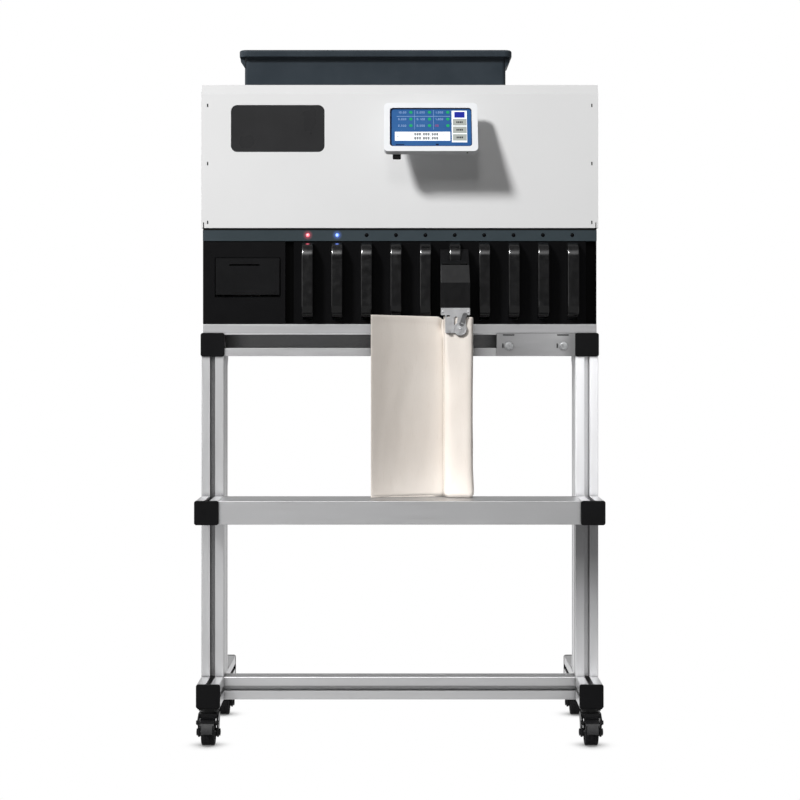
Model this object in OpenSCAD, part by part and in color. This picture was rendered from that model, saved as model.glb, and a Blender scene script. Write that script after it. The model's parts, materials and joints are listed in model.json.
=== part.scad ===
// Coin counting and sorting machine on a wheeled cart of slotted aluminium profile.
// Millimetres, +Z up, front towards -Y, origin on the floor at the centre of the footprint.

/* [Cart] */
// Width over the side profiles
cart_w = 783; // [778:1:792]
// Height of the castors, floor to foot beam
caster_h = 73; // [71:1:75]
// Length of the uprights
upright_l = 632; // [600:1:660]
// Height of the bag shelf's top face above the floor
shelf_top_z = 474; // [440:1:500]
// How far the shelf reaches in front of the uprights, caps included
shelf_reach = 136; // [130:1:140]
// How far the feet reach in front of the uprights, caps included
foot_front = 100; // [95:1:105]
// How far the feet reach behind the uprights' front, caps included
foot_rear = 290; // [280:1:300]

/* [Machine] */
// Half of the white cover's width
cover_hw = 391; // [390:1:394]
// Height of the black outlet section
outlet_h = 162; // [160:1:164]
// Height of the lamp bar
lamp_bar_h = 21; // [18:1:26]
// Height of the white cover
cover_h = 283.5; // [270:0.5:290]
// Depth of the machine behind the cover's front
machine_d = 311; // [311:1:311]
// Distance between neighbouring outlets
outlet_pitch = 57.9; // [57:0.1:58]
// Width of an outlet spout
spout_w = 22.5; // [20:0.5:24]
// How far a spout stands out of the panel
spout_d = 30; // [28:1:32]
// Height of a spout
spout_h = 148; // [144:1:150]

/* [Hopper] */
// Width of the hopper's rim
hopper_w = 548; // [540:1:560]
// Height of the hopper's rim above the cover
hopper_h = 79; // [76:1:86]

/* [Display] */
// Width of the display housing
display_w = 182; // [170:1:190]
// Height of the display housing
display_h = 112; // [108:1:116]
// Backward tilt of the display at rest, in degrees
display_tilt = 28; // [20:1:30]

/* [Bag] */
// Width of the bag
bag_w = 199; // [190:1:205]
// Wall of the bag
bag_wall = 1.5; // [1:0.1:1.5]

/* [Hidden] */

$fn = 48;
e = 0.01;                                   // overshoot of a cut
front_y = -88;                              // front plane of the uprights
prof = 45;                                  // side of the square profile
side_x = cart_w / 2 - prof / 2;             // centre line of the side profiles
cap_t = 5;                                  // thickness of an end cap
cap_w = 46.6;                               // side of an end cap
foot_z = caster_h + prof / 2;               // centre of the foot beams
upright_z0 = caster_h + prof;
upright_z1 = upright_z0 + upright_l;
top_z = upright_z1 + prof / 2;              // centre of the top beams
deck_z0 = upright_z1 + prof;
deck_t = 18;
deck_z1 = deck_z0 + deck_t;
shelf_z = shelf_top_z - prof / 2;
top_beam_l = 300;
tray_t = 2;
outlet_z0 = deck_z1 + tray_t;
outlet_z1 = outlet_z0 + outlet_h;
lamp_z1 = outlet_z1 + lamp_bar_h;
cover_gap = 4.5;                            // dark gap under the cover
cover_z0 = lamp_z1 + cover_gap;
cover_z1 = cover_z0 + cover_h;
face_y = front_y - 2;                       // front plane of the cover and the lamp bar
back_y = face_y + machine_d;                // back plane of the rear cover
panel_hw = 388;                             // half width of the black section
sheet = 2;
outlet_x0 = -181.1;                         // first outlet
outlets = 10;
bag_outlet = 5;                             // the outlet that the bag hangs on, counted from 0
function outlet_x(i) = outlet_x0 + i * outlet_pitch;
spout_z0 = outlet_z0 + 11;
spout_z1 = spout_z0 + spout_h;
lamp_z = outlet_z1 + lamp_bar_h / 2 + 1;
chute_x = outlet_x(bag_outlet);

ALU = "#b4b6b9";
BLACK = "#1b1b1d";
WHITE = "#e2e4e6";
SLATE = "#3a444b";
STEEL = "#a9acb0";

// ---- shared shapes ----

// Rectangle with round corners, centred
module round_rect(w, d, r) {
    square([w - 2 * r, d], center = true);
    square([w, d - 2 * r], center = true);
    for (sx = [-1, 1], sy = [-1, 1])
        translate([sx * (w / 2 - r), sy * (d / 2 - r)]) circle(r = r, $fn = 32);
}

// One T-slot whose mouth is on the line y = 0
module slot_cut() {
    polygon([[-5, 1], [5, 1], [5, -4.5], [10, -4.5], [10, -8], [4.5, -14.5],
        [-4.5, -14.5], [-10, -8], [-10, -4.5], [-5, -4.5]]);
}

// Profile section of 1 x n squares, with a slot in each square's free sides and bored cores
module profile_section(n = 1) {
    difference() {
        round_rect(prof, prof * n, 2);
        for (i = [0 : n - 1]) translate([0, (i - (n - 1) / 2) * prof]) {
            circle(r = 5, $fn = 32);
            for (a = [-90, 90]) rotate(a) translate([0, prof / 2]) slot_cut();
        }
        for (s = [0, 180]) rotate(s) translate([0, prof * n / 2]) slot_cut();
    }
}

// Square profile along X, Y or Z between two ends
module beam_x(y, z, x0, x1) {
    translate([x0, y, z]) rotate([90, 0, 90]) linear_extrude(x1 - x0) profile_section();
}

module beam_y(x, z, y0, y1) {
    translate([x, y1, z]) rotate([90, 0, 0]) linear_extrude(y1 - y0) profile_section();
}

// A 2D shape drawn in (y, z), extruded along X between x0 and x1
module extrude_x(x0, x1) {
    translate([x0, 0, 0]) rotate([90, 0, 90]) linear_extrude(x1 - x0) children();
}

// A 2D shape drawn in (x, z), extruded along Y between y0 and y1
module extrude_y(y0, y1) {
    translate([0, y1, 0]) rotate([90, 0, 0]) linear_extrude(y1 - y0) children();
}

// Cylinder along X or Y between two ends
module rod_x(x0, x1, y, z, r) {
    translate([x0, y, z]) rotate([0, 90, 0]) cylinder(r = r, h = x1 - x0);
}

module rod_y(y0, y1, x, z, r) {
    translate([x, y1, z]) rotate([90, 0, 0]) cylinder(r = r, h = y1 - y0);
}

// Box between two corners
module block(low, high) {
    translate(low) cube(high - low);
}

// ---- cart ----

module foot_beams() color(ALU)
    for (s = [-1, 1])
        beam_y(s * side_x, foot_z, front_y - foot_front + cap_t, front_y + foot_rear - cap_t);

module upright(s) color(ALU)
    translate([s * side_x, front_y + prof, upright_z0]) linear_extrude(upright_l) profile_section(2);

module lower_cross_rail() color(ALU)
    beam_x(front_y + prof / 2, foot_z, -side_x + prof / 2, side_x - prof / 2);

module shelf_arms() color(ALU)
    for (s = [-1, 1]) beam_y(s * side_x, shelf_z, front_y - shelf_reach + cap_t, front_y);

// Folded sheet shelf between the arms, open underneath
module bag_shelf() {
    x = side_x - prof / 2;
    y0 = front_y - shelf_reach + cap_t;
    color(ALU) difference() {
        block([-x, y0, shelf_z - prof / 2], [x, front_y, shelf_top_z]);
        block([-x + sheet, y0 + sheet, shelf_z - prof / 2 - 1],
            [x - sheet, front_y - sheet, shelf_top_z - sheet]);
    }
}

module top_beams() color(ALU)
    for (s = [-1, 1]) beam_y(s * side_x, top_z, front_y, front_y + top_beam_l);

// Channel that is open to the front between a top flange and a front lip
rail_lip = 16;
rail_wall = 3;
module front_top_rail() {
    z0 = upright_z1;
    color(ALU) extrude_x(-side_x + prof / 2, side_x - prof / 2) {
        translate([front_y, z0]) square([rail_wall, rail_lip]);
        translate([front_y, z0]) square([prof, rail_wall]);
        translate([front_y + prof - rail_wall, z0]) square([rail_wall, prof]);
        translate([front_y, z0 + prof - rail_wall]) square([prof, rail_wall]);
    }
}

module rear_top_rail() color(ALU)
    beam_x(front_y + top_beam_l - prof / 2, top_z, -side_x + prof / 2, side_x - prof / 2);

module end_cap(x, z, y0, w = cap_w) extrude_y(y0, y0 + cap_t) translate([x, z]) round_rect(w, w, 4.5);

module end_caps() color(BLACK)
    for (s = [-1, 1]) {
        end_cap(s * side_x, foot_z, front_y - foot_front);
        end_cap(s * side_x, foot_z, front_y + foot_rear - cap_t);
        end_cap(s * side_x, shelf_z, front_y - shelf_reach);
        end_cap(s * side_x, top_z, front_y - cap_t);
        end_cap(s * side_x, top_z, front_y + top_beam_l, prof);
    }

// Cast angle bracket in the corner behind an upright, with two ribs
bracket_leg = 42;
bracket_t = 5;
module bracket(x, z, up) {
    translate([x, front_y + 2 * prof, z]) mirror([0, 0, up > 0 ? 0 : 1]) {
        extrude_x(-20, 20) {
            square([bracket_leg, bracket_t]);
            square([bracket_t, bracket_leg]);
        }
        for (s = [-1, 1]) extrude_x(s * 18.5 - 1.5, s * 18.5 + 1.5)
            polygon([[0, 0], [bracket_leg, 0], [bracket_leg, 8], [8, bracket_leg], [0, bracket_leg]]);
    }
}

module corner_brackets() color(STEEL)
    for (s = [-1, 1]) {
        bracket(s * side_x, upright_z0, 1);
        bracket(s * side_x, upright_z1, -1);
    }

// Screws of the brackets, and the two bolts of the adjuster plate
adjuster_x = [215, 322];
adjuster_z = upright_z1 + 20;
module frame_bolts() color(STEEL) {
    for (s = [-1, 1], k = [0, 1]) {
        z = k == 0 ? upright_z0 + bracket_t : upright_z1 - bracket_t - 5;
        translate([s * side_x, front_y + 2 * prof + 25, z]) cylinder(r = 7, h = 5);
        rod_y(front_y + 2 * prof + bracket_t, front_y + 2 * prof + bracket_t + 5, s * side_x,
            k == 0 ? upright_z0 + 25 : upright_z1 - 25, 7);
    }
    for (x = adjuster_x) {
        rod_y(front_y - 7, front_y - 3, x, adjuster_z, 8);
        rod_y(front_y - 3, front_y + 6, x, adjuster_z, 4);
    }
}

module adjuster_plate() color(ALU)
    difference() {
        block([191, front_y - 3, upright_z1], [345.5, front_y, upright_z1 + prof]);
        for (x = adjuster_x) {
            rod_y(front_y - 4, front_y + 1, x, adjuster_z, 4.3);
            block([x - 12, front_y - 4, upright_z1 + 40.5], [x + 11, front_y + 1, upright_z1 + 43]);
            block([x - 13, front_y - 4, upright_z1 + 16], [x - 10.5, front_y + 1, upright_z1 + 25]);
        }
    }

// Deck: a sheet folded down all round
module deck_plate() color(ALU)
    difference() {
        block([-panel_hw, front_y, deck_z0], [panel_hw, front_y + 305, deck_z1]);
        block([-panel_hw + 3, front_y + 3, deck_z0 - 1], [panel_hw - 3, front_y + 302, deck_z1 - 3]);
    }

// ---- castors ----

wheel_r = 25;
wheel_w = 26;
trail = 20;                                 // from the swivel axis to the axle
race_z = 61;                                // underside of the fixed race
kingpin_r = 4;
axle_r = 4;
run_gap = 0.05;                             // radial clearance of a running fit
front_swivel_y = front_y - 65;
rear_swivel_y = front_y + 233;
cheek_x0 = 16.5;
cheek_x1 = 20;

// Places its child, drawn with the wheel trailing towards -Y, at one corner of the cart
module at_corner(sx, rear) {
    translate([sx * side_x, rear ? rear_swivel_y : front_swivel_y, 0])
        rotate([0, 0, rear ? 180 : 0]) children();
}

module caster_plates() color(BLACK)
    for (sx = [-1, 1], rear = [false, true]) at_corner(sx, rear) {
        block([-21, -28, caster_h - 3], [21, 28, caster_h]);
        translate([0, 0, race_z]) cylinder(r = 17, h = caster_h - 3 - race_z);
        translate([0, 0, 52]) cylinder(r = kingpin_r, h = race_z - 52);
        translate([0, 0, 52]) cylinder(r = 7, h = 3);
        for (x = [-15, 15], y = [-23, 23]) translate([x, y, caster_h - 6]) cylinder(r = 4, h = 3);
    }

fork_z = race_z - 0.4;                      // top of the fork
module caster_fork(sx, rear) color(BLACK)
    at_corner(sx, rear) {
        difference() {
            translate([0, 0, fork_z - 4]) union() {
                cylinder(r = 18, h = 4);
                block([-cheek_x1, -22, 0], [cheek_x1, 8, 4]);
            }
            translate([0, 0, fork_z - 5]) cylinder(r = kingpin_r + run_gap, h = 6);
        }
        for (s = [-1, 1]) extrude_x(s > 0 ? cheek_x0 : -cheek_x1, s > 0 ? cheek_x1 : -cheek_x0) {
            polygon([[8, fork_z - 1], [8, fork_z - 10], [-trail + 9, wheel_r - 3],
                [-trail - 9, wheel_r - 3], [-trail - 12, fork_z - 12], [-22, fork_z - 1]]);
            translate([-trail, wheel_r]) circle(r = 9.5);
        }
        block([-cheek_x1, -22, 2 * wheel_r + 2], [cheek_x1, -20, fork_z - 3]);
        rod_x(-cheek_x1 - 3.4, cheek_x1 + 3.4, -trail, wheel_r, axle_r);
        for (s = [-1, 1]) translate([s > 0 ? cheek_x1 : -cheek_x1 - 3, -trail, wheel_r]) rotate([0, 90, 0])
            cylinder(r = 7, h = 3, $fn = 6);
    }

// Section of a wheel on one side of its axle: hub, web and tyre with round shoulders
hub_l = 32.2;
tyre_r = 17;                                // inner radius of the tyre
shoulder_r = 3;
module wheel_section() {
    bore = axle_r + run_gap;
    translate([bore, -hub_l / 2]) square([7, hub_l]);
    translate([bore, -9]) square([15, 18]);
    translate([tyre_r, -wheel_w / 2]) square([wheel_r - tyre_r - shoulder_r, wheel_w]);
    translate([tyre_r, -wheel_w / 2 + shoulder_r]) square([wheel_r - tyre_r, wheel_w - 2 * shoulder_r]);
    for (s = [-1, 1])
        translate([wheel_r - shoulder_r, s * (wheel_w / 2 - shoulder_r)]) circle(r = shoulder_r, $fn = 32);
}

module caster_wheel(sx, rear) color(BLACK)
    at_corner(sx, rear) translate([0, -trail, wheel_r]) rotate([0, 90, 0])
        rotate_extrude($fn = 64) wheel_section();

pedal_y = -41;                              // pedal pivot, measured from the swivel axis
pedal_z = 47;
module brake_pedal(sx) color(BLACK)
    at_corner(sx, false) {
        difference() {
            union() {
                extrude_x(-13, 13) translate([pedal_y, pedal_z]) {
                    circle(r = 4, $fn = 32);
                    polygon([[0, 4], [-10, 4], [-17, 0], [-18.5, -3.5], [-14, -3.5], [-8, -0.5],
                        [0, -3.5]]);
                    translate([-16, -12]) square([3.5, 10]);
                }
                extrude_x(-10.5, 10.5) translate([pedal_y, pedal_z])
                    polygon([[-17, 0], [-21, -9], [-22.5, -19], [-20, -20], [-18, -10], [-14, -3.5]]);
            }
            rod_x(-15, 15, pedal_y, pedal_z, 2 + run_gap);
        }
    }

// Pin and ears that carry a brake pedal, part of the fork
module pedal_hanger() {
    for (s = [-1, 1]) extrude_x(s > 0 ? cheek_x0 : -cheek_x1, s > 0 ? cheek_x1 : -cheek_x0)
        polygon([[-20, fork_z - 1], [-20, pedal_z - 7], [pedal_y - 3, pedal_z - 5],
            [pedal_y - 5, pedal_z + 2], [pedal_y, pedal_z + 5]]);
    rod_x(-cheek_x1, cheek_x1, pedal_y, pedal_z, 2);
    for (s = [-1, 1]) rod_x(s > 0 ? cheek_x1 - e : -cheek_x1 - 2, s > 0 ? cheek_x1 + 2 : -cheek_x1 + e,
        pedal_y, pedal_z, 4);
}

module caster_fork_front(sx) {
    caster_fork(sx, false);
    color(BLACK) at_corner(sx, false) pedal_hanger();
}

// ---- machine casing ----

module base_tray() color(BLACK)
    block([-panel_hw + sheet, front_y, deck_z1], [panel_hw - sheet, back_y - 4, outlet_z0]);

module side_panels() color(BLACK)
    for (s = [-1, 1]) block([s > 0 ? panel_hw - sheet : -panel_hw, front_y + 3, deck_z1],
        [s > 0 ? panel_hw : -panel_hw + sheet, back_y - 2, cover_z0 + 8]);

panel_x0 = -209;                            // outlet panel, with a deeper strip on each side
panel_x1 = 367;
printer_x1 = -225.5;
strip_y = front_y + 12;
duct_w = 17;                                // opening behind a spout
module outlet_panel() color(BLACK)
    difference() {
        union() {
            block([panel_x0, front_y, outlet_z0], [panel_x1, front_y + sheet, outlet_z1]);
            block([panel_x0, front_y, outlet_z0], [panel_x0 + sheet, strip_y + sheet, outlet_z1]);
            block([panel_x1 - sheet, front_y, outlet_z0], [panel_x1, strip_y + sheet, outlet_z1]);
            block([printer_x1, strip_y, outlet_z0], [panel_x0 + sheet, strip_y + sheet, outlet_z1]);
            block([panel_x1 - sheet, strip_y, outlet_z0], [panel_hw - sheet, strip_y + sheet, outlet_z1]);
        }
        for (i = [0 : outlets - 1])
            block([outlet_x(i) - duct_w / 2, front_y - 1, spout_z0 - 4],
                [outlet_x(i) + duct_w / 2, front_y + sheet + 1, spout_z1 - 4]);
    }

// Side view of a spout: a bow with round front corners, inset by t on every side but the back
spout_r = 17;
module spout_side(t) {
    r = spout_r - t;
    y = front_y - spout_d + t;
    translate([y + r, spout_z0 + t]) square([spout_d - t - r + (t > 0 ? 1 : 0), spout_h - 2 * t]);
    translate([y, spout_z0 + spout_r]) square([r + e, spout_h - 2 * spout_r]);
    for (z = [spout_z0 + spout_r, spout_z1 - spout_r]) translate([y + r, z]) circle(r = r);
}

module outlet_spouts() color(BLACK)
    for (i = [0 : outlets - 1]) difference() {
        extrude_x(outlet_x(i) - spout_w / 2, outlet_x(i) + spout_w / 2)
            intersection() {
                spout_side(0);
                translate([front_y - spout_d - 1, spout_z0 - 1]) square([spout_d + 1, spout_h + 2]);
            }
        extrude_x(outlet_x(i) - duct_w / 2, outlet_x(i) + duct_w / 2) spout_side(2.5);
        block([outlet_x(i) - duct_w / 2, front_y - spout_d + 14, spout_z0 - 1],
            [outlet_x(i) + duct_w / 2, front_y + 1, spout_z0 + 20]);
    }

lamp_r = 4;
module lamp_bar() color(SLATE)
    difference() {
        union() {
            block([-panel_hw, face_y, outlet_z1], [panel_hw, face_y + sheet + 1, lamp_z1]);
            block([-panel_hw, face_y, outlet_z1], [panel_hw, face_y + 14, outlet_z1 + 1.5]);
            block([-panel_hw, face_y, lamp_z1 - 1.5], [panel_hw, face_y + 5, lamp_z1]);
            block([-panel_hw + 2.1, face_y + 3, lamp_z1 - 1.5], [panel_hw - 2.1, face_y + 5, cover_z0 + 3]);
        }
        for (i = [0 : outlets - 1]) rod_y(face_y - 1, face_y + 4, outlet_x(i), lamp_z, lamp_r);
        for (s = [-1, 1])
            block([s * panel_hw - 2.2, face_y + 4.9, outlet_z1 - 1],
                [s * panel_hw + 2.2, face_y + 15, lamp_z1 + 1]);
    }

// One lamp over each outlet: the first two are coloured, as they light up
module lamps()
    for (i = [0 : outlets - 1]) color(i == 0 ? "#ff2040" : i == 1 ? "#2060ff" : "#08090b") {
        rod_y(face_y + 0.4, face_y + 3, outlet_x(i), lamp_z, lamp_r - 0.2);
        rod_y(face_y + 3, face_y + 10, outlet_x(i), lamp_z, lamp_r + 1);
    }

window_x = -240.4;                          // smoked window in the cover
window_z = cover_z0 + 196;
window_w = 184.5;
window_h = 92.5;
window_r = 12.5;
bevel_y = 14;                               // top front bevel of the cover
bevel_z = 19;
hopper_x = -48.6;                           // hopper body
hopper_body_w = hopper_w - 24;
hopper_y0 = front_y + 90;
hopper_y1 = front_y + 290;
hopper_gap = 1;
clip_z = [11, 127, 241.5];                  // heights of the cover's fasteners above its lower edge
clip_x = cover_hw - 12.5;
notch_x = cover_hw - 4.5;                   // slits in the cover's lower corners

module cover_side(t) {
    polygon([[face_y + t, cover_z0 - (t > 0 ? 1 : 0)], [face_y + t, cover_z1 - bevel_z - t * 0.3],
        [face_y + bevel_y + t * 0.4, cover_z1 - t], [back_y - 2 + (t > 0 ? 1 : 0), cover_z1 - t],
        [back_y - 2 + (t > 0 ? 1 : 0), cover_z0 - (t > 0 ? 1 : 0)]]);
}

module front_cover() color(WHITE)
    difference() {
        extrude_x(-cover_hw, cover_hw) cover_side(0);
        extrude_x(-cover_hw + sheet, cover_hw - sheet) cover_side(sheet);
        extrude_y(face_y - 1, face_y + 4) translate([window_x, window_z])
            round_rect(window_w, window_h, window_r);
        block([hopper_x - hopper_body_w / 2 - hopper_gap, hopper_y0 - hopper_gap, cover_z1 - 4],
            [hopper_x + hopper_body_w / 2 + hopper_gap, hopper_y1 + hopper_gap, cover_z1 + 1]);
        for (s = [-1, 1]) {
            block([s * notch_x - 1, face_y - 1, cover_z0 - 1],
                [s * notch_x + 1, face_y + 2.5, cover_z0 + 11]);
            for (z = clip_z) extrude_y(face_y - 1, face_y + 3) translate([s * clip_x, cover_z0 + z])
                round_rect(2.6, 7, 1.2);
        }
    }

module cover_clips() color(BLACK)
    for (s = [-1, 1], z = clip_z) {
        extrude_y(face_y + 0.6, face_y + 3) translate([s * clip_x, cover_z0 + z]) round_rect(2.2, 6.6, 1);
        block([s * clip_x - 4, face_y + 2.1, cover_z0 + z - 6],
            [s * clip_x + 4, face_y + 4, cover_z0 + z + 6]);
    }

// Smoked pane: the visible face fills the opening, and a wider flange sits behind the cover
module window_pane() color("#2f2f30", 0.9) {
    extrude_y(face_y + 0.5, face_y + sheet) translate([window_x, window_z])
        round_rect(window_w - 0.6, window_h - 0.6, window_r);
    extrude_y(face_y + sheet, face_y + sheet + 2) translate([window_x, window_z])
        round_rect(window_w + 16, window_h + 16, window_r);
}

inlet_x = -300;                             // socket and switch module in the rear cover
inlet_z = outlet_z0 + 70;
inlet_w = 50;
inlet_h = 62;
module rear_cover() color(WHITE)
    difference() {
        block([-panel_hw, back_y - 2, outlet_z0], [panel_hw, back_y, cover_z1 - sheet - 0.5]);
        for (i = [0 : 9], x = [-200, 0, 200]) extrude_y(back_y - 3, back_y + 1)
            translate([x, cover_z0 + 60 + i * 14]) round_rect(110, 4, 1.9);
        block([inlet_x - inlet_w / 2 + 3, back_y - 3, inlet_z - inlet_h / 2 + 3],
            [inlet_x + inlet_w / 2 - 3, back_y + 1, inlet_z + inlet_h / 2 - 3]);
    }

// Appliance inlet with three blades, and the window that the rocker switch tilts in
socket_z = inlet_z - 15;
rocker_z = inlet_z + 15;
rocker_y = back_y - 4;                      // pivot of the rocker
rocker_tilt = 8;
module power_inlet() color(BLACK)
    difference() {
        union() {
            extrude_y(back_y, back_y + 3) translate([inlet_x, inlet_z]) round_rect(inlet_w, inlet_h, 3);
            block([inlet_x - 21, back_y - 30, inlet_z - 28], [inlet_x + 21, back_y + e, inlet_z + 28]);
        }
        difference() {
            block([inlet_x - 13, back_y - 14, socket_z - 9.5], [inlet_x + 13, back_y + 4, socket_z + 9.5]);
            for (p = [[-7, 1], [7, 1], [0, -4]])
                block([inlet_x + p.x - 1, back_y - 15, socket_z + p.y - 2.5],
                    [inlet_x + p.x + 1, back_y - 4, socket_z + p.y + 2.5]);
        }
        block([inlet_x - 10.3, back_y - 14, rocker_z - 11.7],
            [inlet_x + 10.3, back_y + 4, rocker_z + 11.7]);
        rod_x(inlet_x - 13, inlet_x + 13, rocker_y, rocker_z, 1.5 + run_gap);
    }

module power_switch() color("#101012")
    translate([inlet_x, rocker_y, rocker_z]) rotate([-rocker_tilt, 0, 0]) {
        extrude_x(-9.8, 9.8) polygon([[5.2, -10.3], [3.6, 0], [5.2, 10.3], [0, 10.3],
            [-5, 5], [-5, -5], [0, -10.3]]);
        rod_x(-12.5, 12.5, 0, 0, 1.5);
    }

// ---- hopper ----

hopper_t = 2.5;
rim_h = 14;
rim_out = 13;
hopper_z1 = cover_z1 + hopper_h;
throat_x0 = -300;                           // outlet over the feed disc
throat_x1 = -160;
throat_y0 = front_y + 115;
throat_y1 = front_y + 245;
throat_z = cover_z1 - 60;

// Tapering block: the overlap of a front view and a side view
module funnel(t, z0) {
    x0 = hopper_x - hopper_body_w / 2 + t;
    x1 = hopper_x + hopper_body_w / 2 - t;
    intersection() {
        extrude_y(hopper_y0 + t, hopper_y1 - t)
            polygon([[x0, hopper_z1 + 1], [x0, cover_z1], [throat_x0 + t, z0], [throat_x1 - t, z0],
                [x1, cover_z1 - 10], [x1, hopper_z1 + 1]]);
        extrude_x(x0, x1)
            polygon([[hopper_y0 + t, hopper_z1 + 1], [hopper_y0 + t, cover_z1 - 8], [throat_y0 + t, z0],
                [throat_y1 - t, z0], [hopper_y1 - t, cover_z1 - 8], [hopper_y1 - t, hopper_z1 + 1]]);
    }
}

module hopper_bin() color(SLATE)
    difference() {
        union() {
            intersection() {
                funnel(0, throat_z);
                block([-400, -400, 0], [400, 400, hopper_z1]);
            }
            translate([hopper_x, (hopper_y0 + hopper_y1) / 2, hopper_z1 - rim_h]) linear_extrude(rim_h)
                round_rect(hopper_w, hopper_y1 - hopper_y0 + 2 * rim_out, 16);
            for (s = [-1, 1], y = [hopper_y0 + 1, hopper_y1 - 5]) extrude_y(y, y + 4) polygon([
                [hopper_x + s * (hopper_body_w / 2 - 1), hopper_z1 - rim_h],
                [hopper_x + s * (hopper_w / 2 - 3), hopper_z1 - rim_h],
                [hopper_x + s * (hopper_w / 2 - 5), hopper_z1 - rim_h - 10],
                [hopper_x + s * (hopper_body_w / 2 - 1), hopper_z1 - rim_h - 22]]);
        }
        funnel(hopper_t, throat_z - e);
    }

// ---- sorting works ----

disc_x = -230;
disc_y = front_y + 180;
disc_r = 92;
disc_z = throat_z - 20;                     // top of the disc
bed_z = disc_z - 14;                        // top of the bed plate
bed_t = 4;
shaft_r = 8;
motor_x = -95;
belt_z = bed_z - 84;                        // centre height of the belt
big_pulley_r = 32;
small_pulley_r = 12;
belt_gap = 0.3;

module disc_bed() color(STEEL)
    difference() {
        union() {
            block([-345, front_y + 75, bed_z - bed_t], [-45, front_y + 285, bed_z]);
            translate([disc_x, disc_y, bed_z]) difference() {
                cylinder(r = disc_r + 6, h = 30, $fn = 96);
                translate([0, 0, -1]) cylinder(r = disc_r + 2, h = 32, $fn = 96);
                block([-35, -disc_r - 20, 5], [60, -disc_r + 30, 31]);
            }
            translate([disc_x, disc_y, bed_z - 30]) cylinder(r = 18, h = 30);
            for (x = [-335, -55], y = [front_y + 92, front_y + 275])
                translate([x, y, outlet_z0]) cylinder(r = 7, h = bed_z - outlet_z0 - 1);
        }
        translate([disc_x, disc_y, bed_z - 31]) cylinder(r = shaft_r + run_gap, h = 40);
    }

module feed_disc() color(STEEL)
    translate([disc_x, disc_y, disc_z]) {
        difference() {
            translate([0, 0, -5]) cylinder(r = disc_r, h = 5, $fn = 96);
            translate([0, 0, -6]) cylinder(r = shaft_r, h = 7);
        }
        translate([0, 0, 0]) cylinder(r1 = 26, r2 = 8, h = 12);
        for (i = [0 : 7]) rotate(i * 45) translate([60, 0, 0]) cylinder(r = 3, h = 3);
    }

module disc_shaft() color(STEEL)
    translate([disc_x, disc_y, 0]) {
        translate([0, 0, belt_z - 8]) cylinder(r = shaft_r, h = disc_z - belt_z + 8);
        translate([0, 0, belt_z - 6]) cylinder(r = big_pulley_r, h = 12);
        for (z = [belt_z - 7.5, belt_z + 6]) translate([0, 0, z]) cylinder(r = big_pulley_r + 3, h = 1.5);
    }

module feed_motor() color("#404246") {
    translate([motor_x, disc_y, belt_z + 20]) cylinder(r = 30, h = bed_z - bed_t - belt_z - 20);
    translate([motor_x, disc_y, belt_z + 12]) cylinder(r = 14, h = 8);
}

module motor_pulley() color(STEEL)
    translate([motor_x, disc_y, 0]) {
        translate([0, 0, belt_z - 8]) cylinder(r = 4, h = 19.5);
        translate([0, 0, belt_z - 6]) cylinder(r = small_pulley_r, h = 12);
        for (z = [belt_z - 7.5, belt_z + 6]) translate([0, 0, z]) cylinder(r = small_pulley_r + 3, h = 1.5);
    }

// Outline of a belt round both pulleys, add outside their rims: two arcs joined by tangents
arc_steps = 24;
function arc(x, r, a0, a1) =
    [for (k = [0 : arc_steps]) let (a = a0 + (a1 - a0) * k / arc_steps) [x + r * cos(a), r * sin(a)]];
function belt_points(add) =
    let (r1 = big_pulley_r + add, r2 = small_pulley_r + add, d = motor_x - disc_x)
    let (a = acos((r1 - r2) / d))
    concat(arc(0, r1, a, 360 - a), arc(d, r2, -a, a));

module drive_belt() color("#101012")
    translate([disc_x, disc_y, belt_z - 4]) linear_extrude(8) difference() {
        polygon(belt_points(belt_gap + 2.5));
        polygon(belt_points(belt_gap + 0.5));
    }

// Rail that the coins roll along: each opening lets one size drop, and they grow to the right
rail_x0 = -225;
rail_x1 = 372;
rail_z = disc_z - 40;
rail_y0 = front_y + 28;
rail_d = 40;
rail_slope = 2.5;
module sort_rail() color(STEEL)
    translate([rail_x0, rail_y0, rail_z]) rotate([0, rail_slope, 0]) difference() {
        union() {
            block([0, 0, 0], [rail_x1 - rail_x0, rail_d, 4]);
            block([0, rail_d - 3, 4], [rail_x1 - rail_x0, rail_d, 30]);
        }
        for (i = [0 : outlets - 1]) translate([outlet_x(i) - rail_x0, 0, -1])
            block([-15, 6, 0], [15, 6 + 16 + i * 1.2, 6]);
    }

// Sloping back wall and eleven dividers, from the rail down to the spouts
drop_z1 = lamp_z1 + 95;
module drop_side(wall, z1 = drop_z1) {
    y0 = front_y + 16;
    y1 = rail_y0 + rail_d;
    polygon(wall
        ? [[y0, outlet_z0 + 12], [y0, outlet_z1 - 25], [y1, lamp_z1 + 30], [y1, drop_z1],
            [y1 + 2, drop_z1], [y1 + 2, lamp_z1 + 29], [y0 + 2, outlet_z1 - 26], [y0 + 2, outlet_z0 + 12]]
        : [[front_y + 3, outlet_z0 + 12], [front_y + 3, outlet_z1 - 20], [rail_y0 - 12, outlet_z1 - 4],
            [rail_y0 - 12, z1], [y1, z1], [y1, lamp_z1 + 30], [y0, outlet_z1 - 25], [y0, outlet_z0 + 12]]);
}

module drop_chutes() color("#55585c") {
    extrude_x(outlet_x(0) - outlet_pitch / 2 + 3, outlet_x(9) + outlet_pitch / 2 - 3) drop_side(true);
    for (i = [0 : outlets]) {
        x = outlet_x0 + (i - 0.5) * outlet_pitch + (i == 0 ? 4.5 : i == outlets ? -5.5 : 0);
        carries = i == 0 || i == outlets;   // the two end dividers reach up to the rail
        extrude_x(x - 1, x + 1)
            drop_side(false, carries ? rail_z - (x + 1 - rail_x0) * tan(rail_slope) - 0.2 : drop_z1);
    }
}

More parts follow.
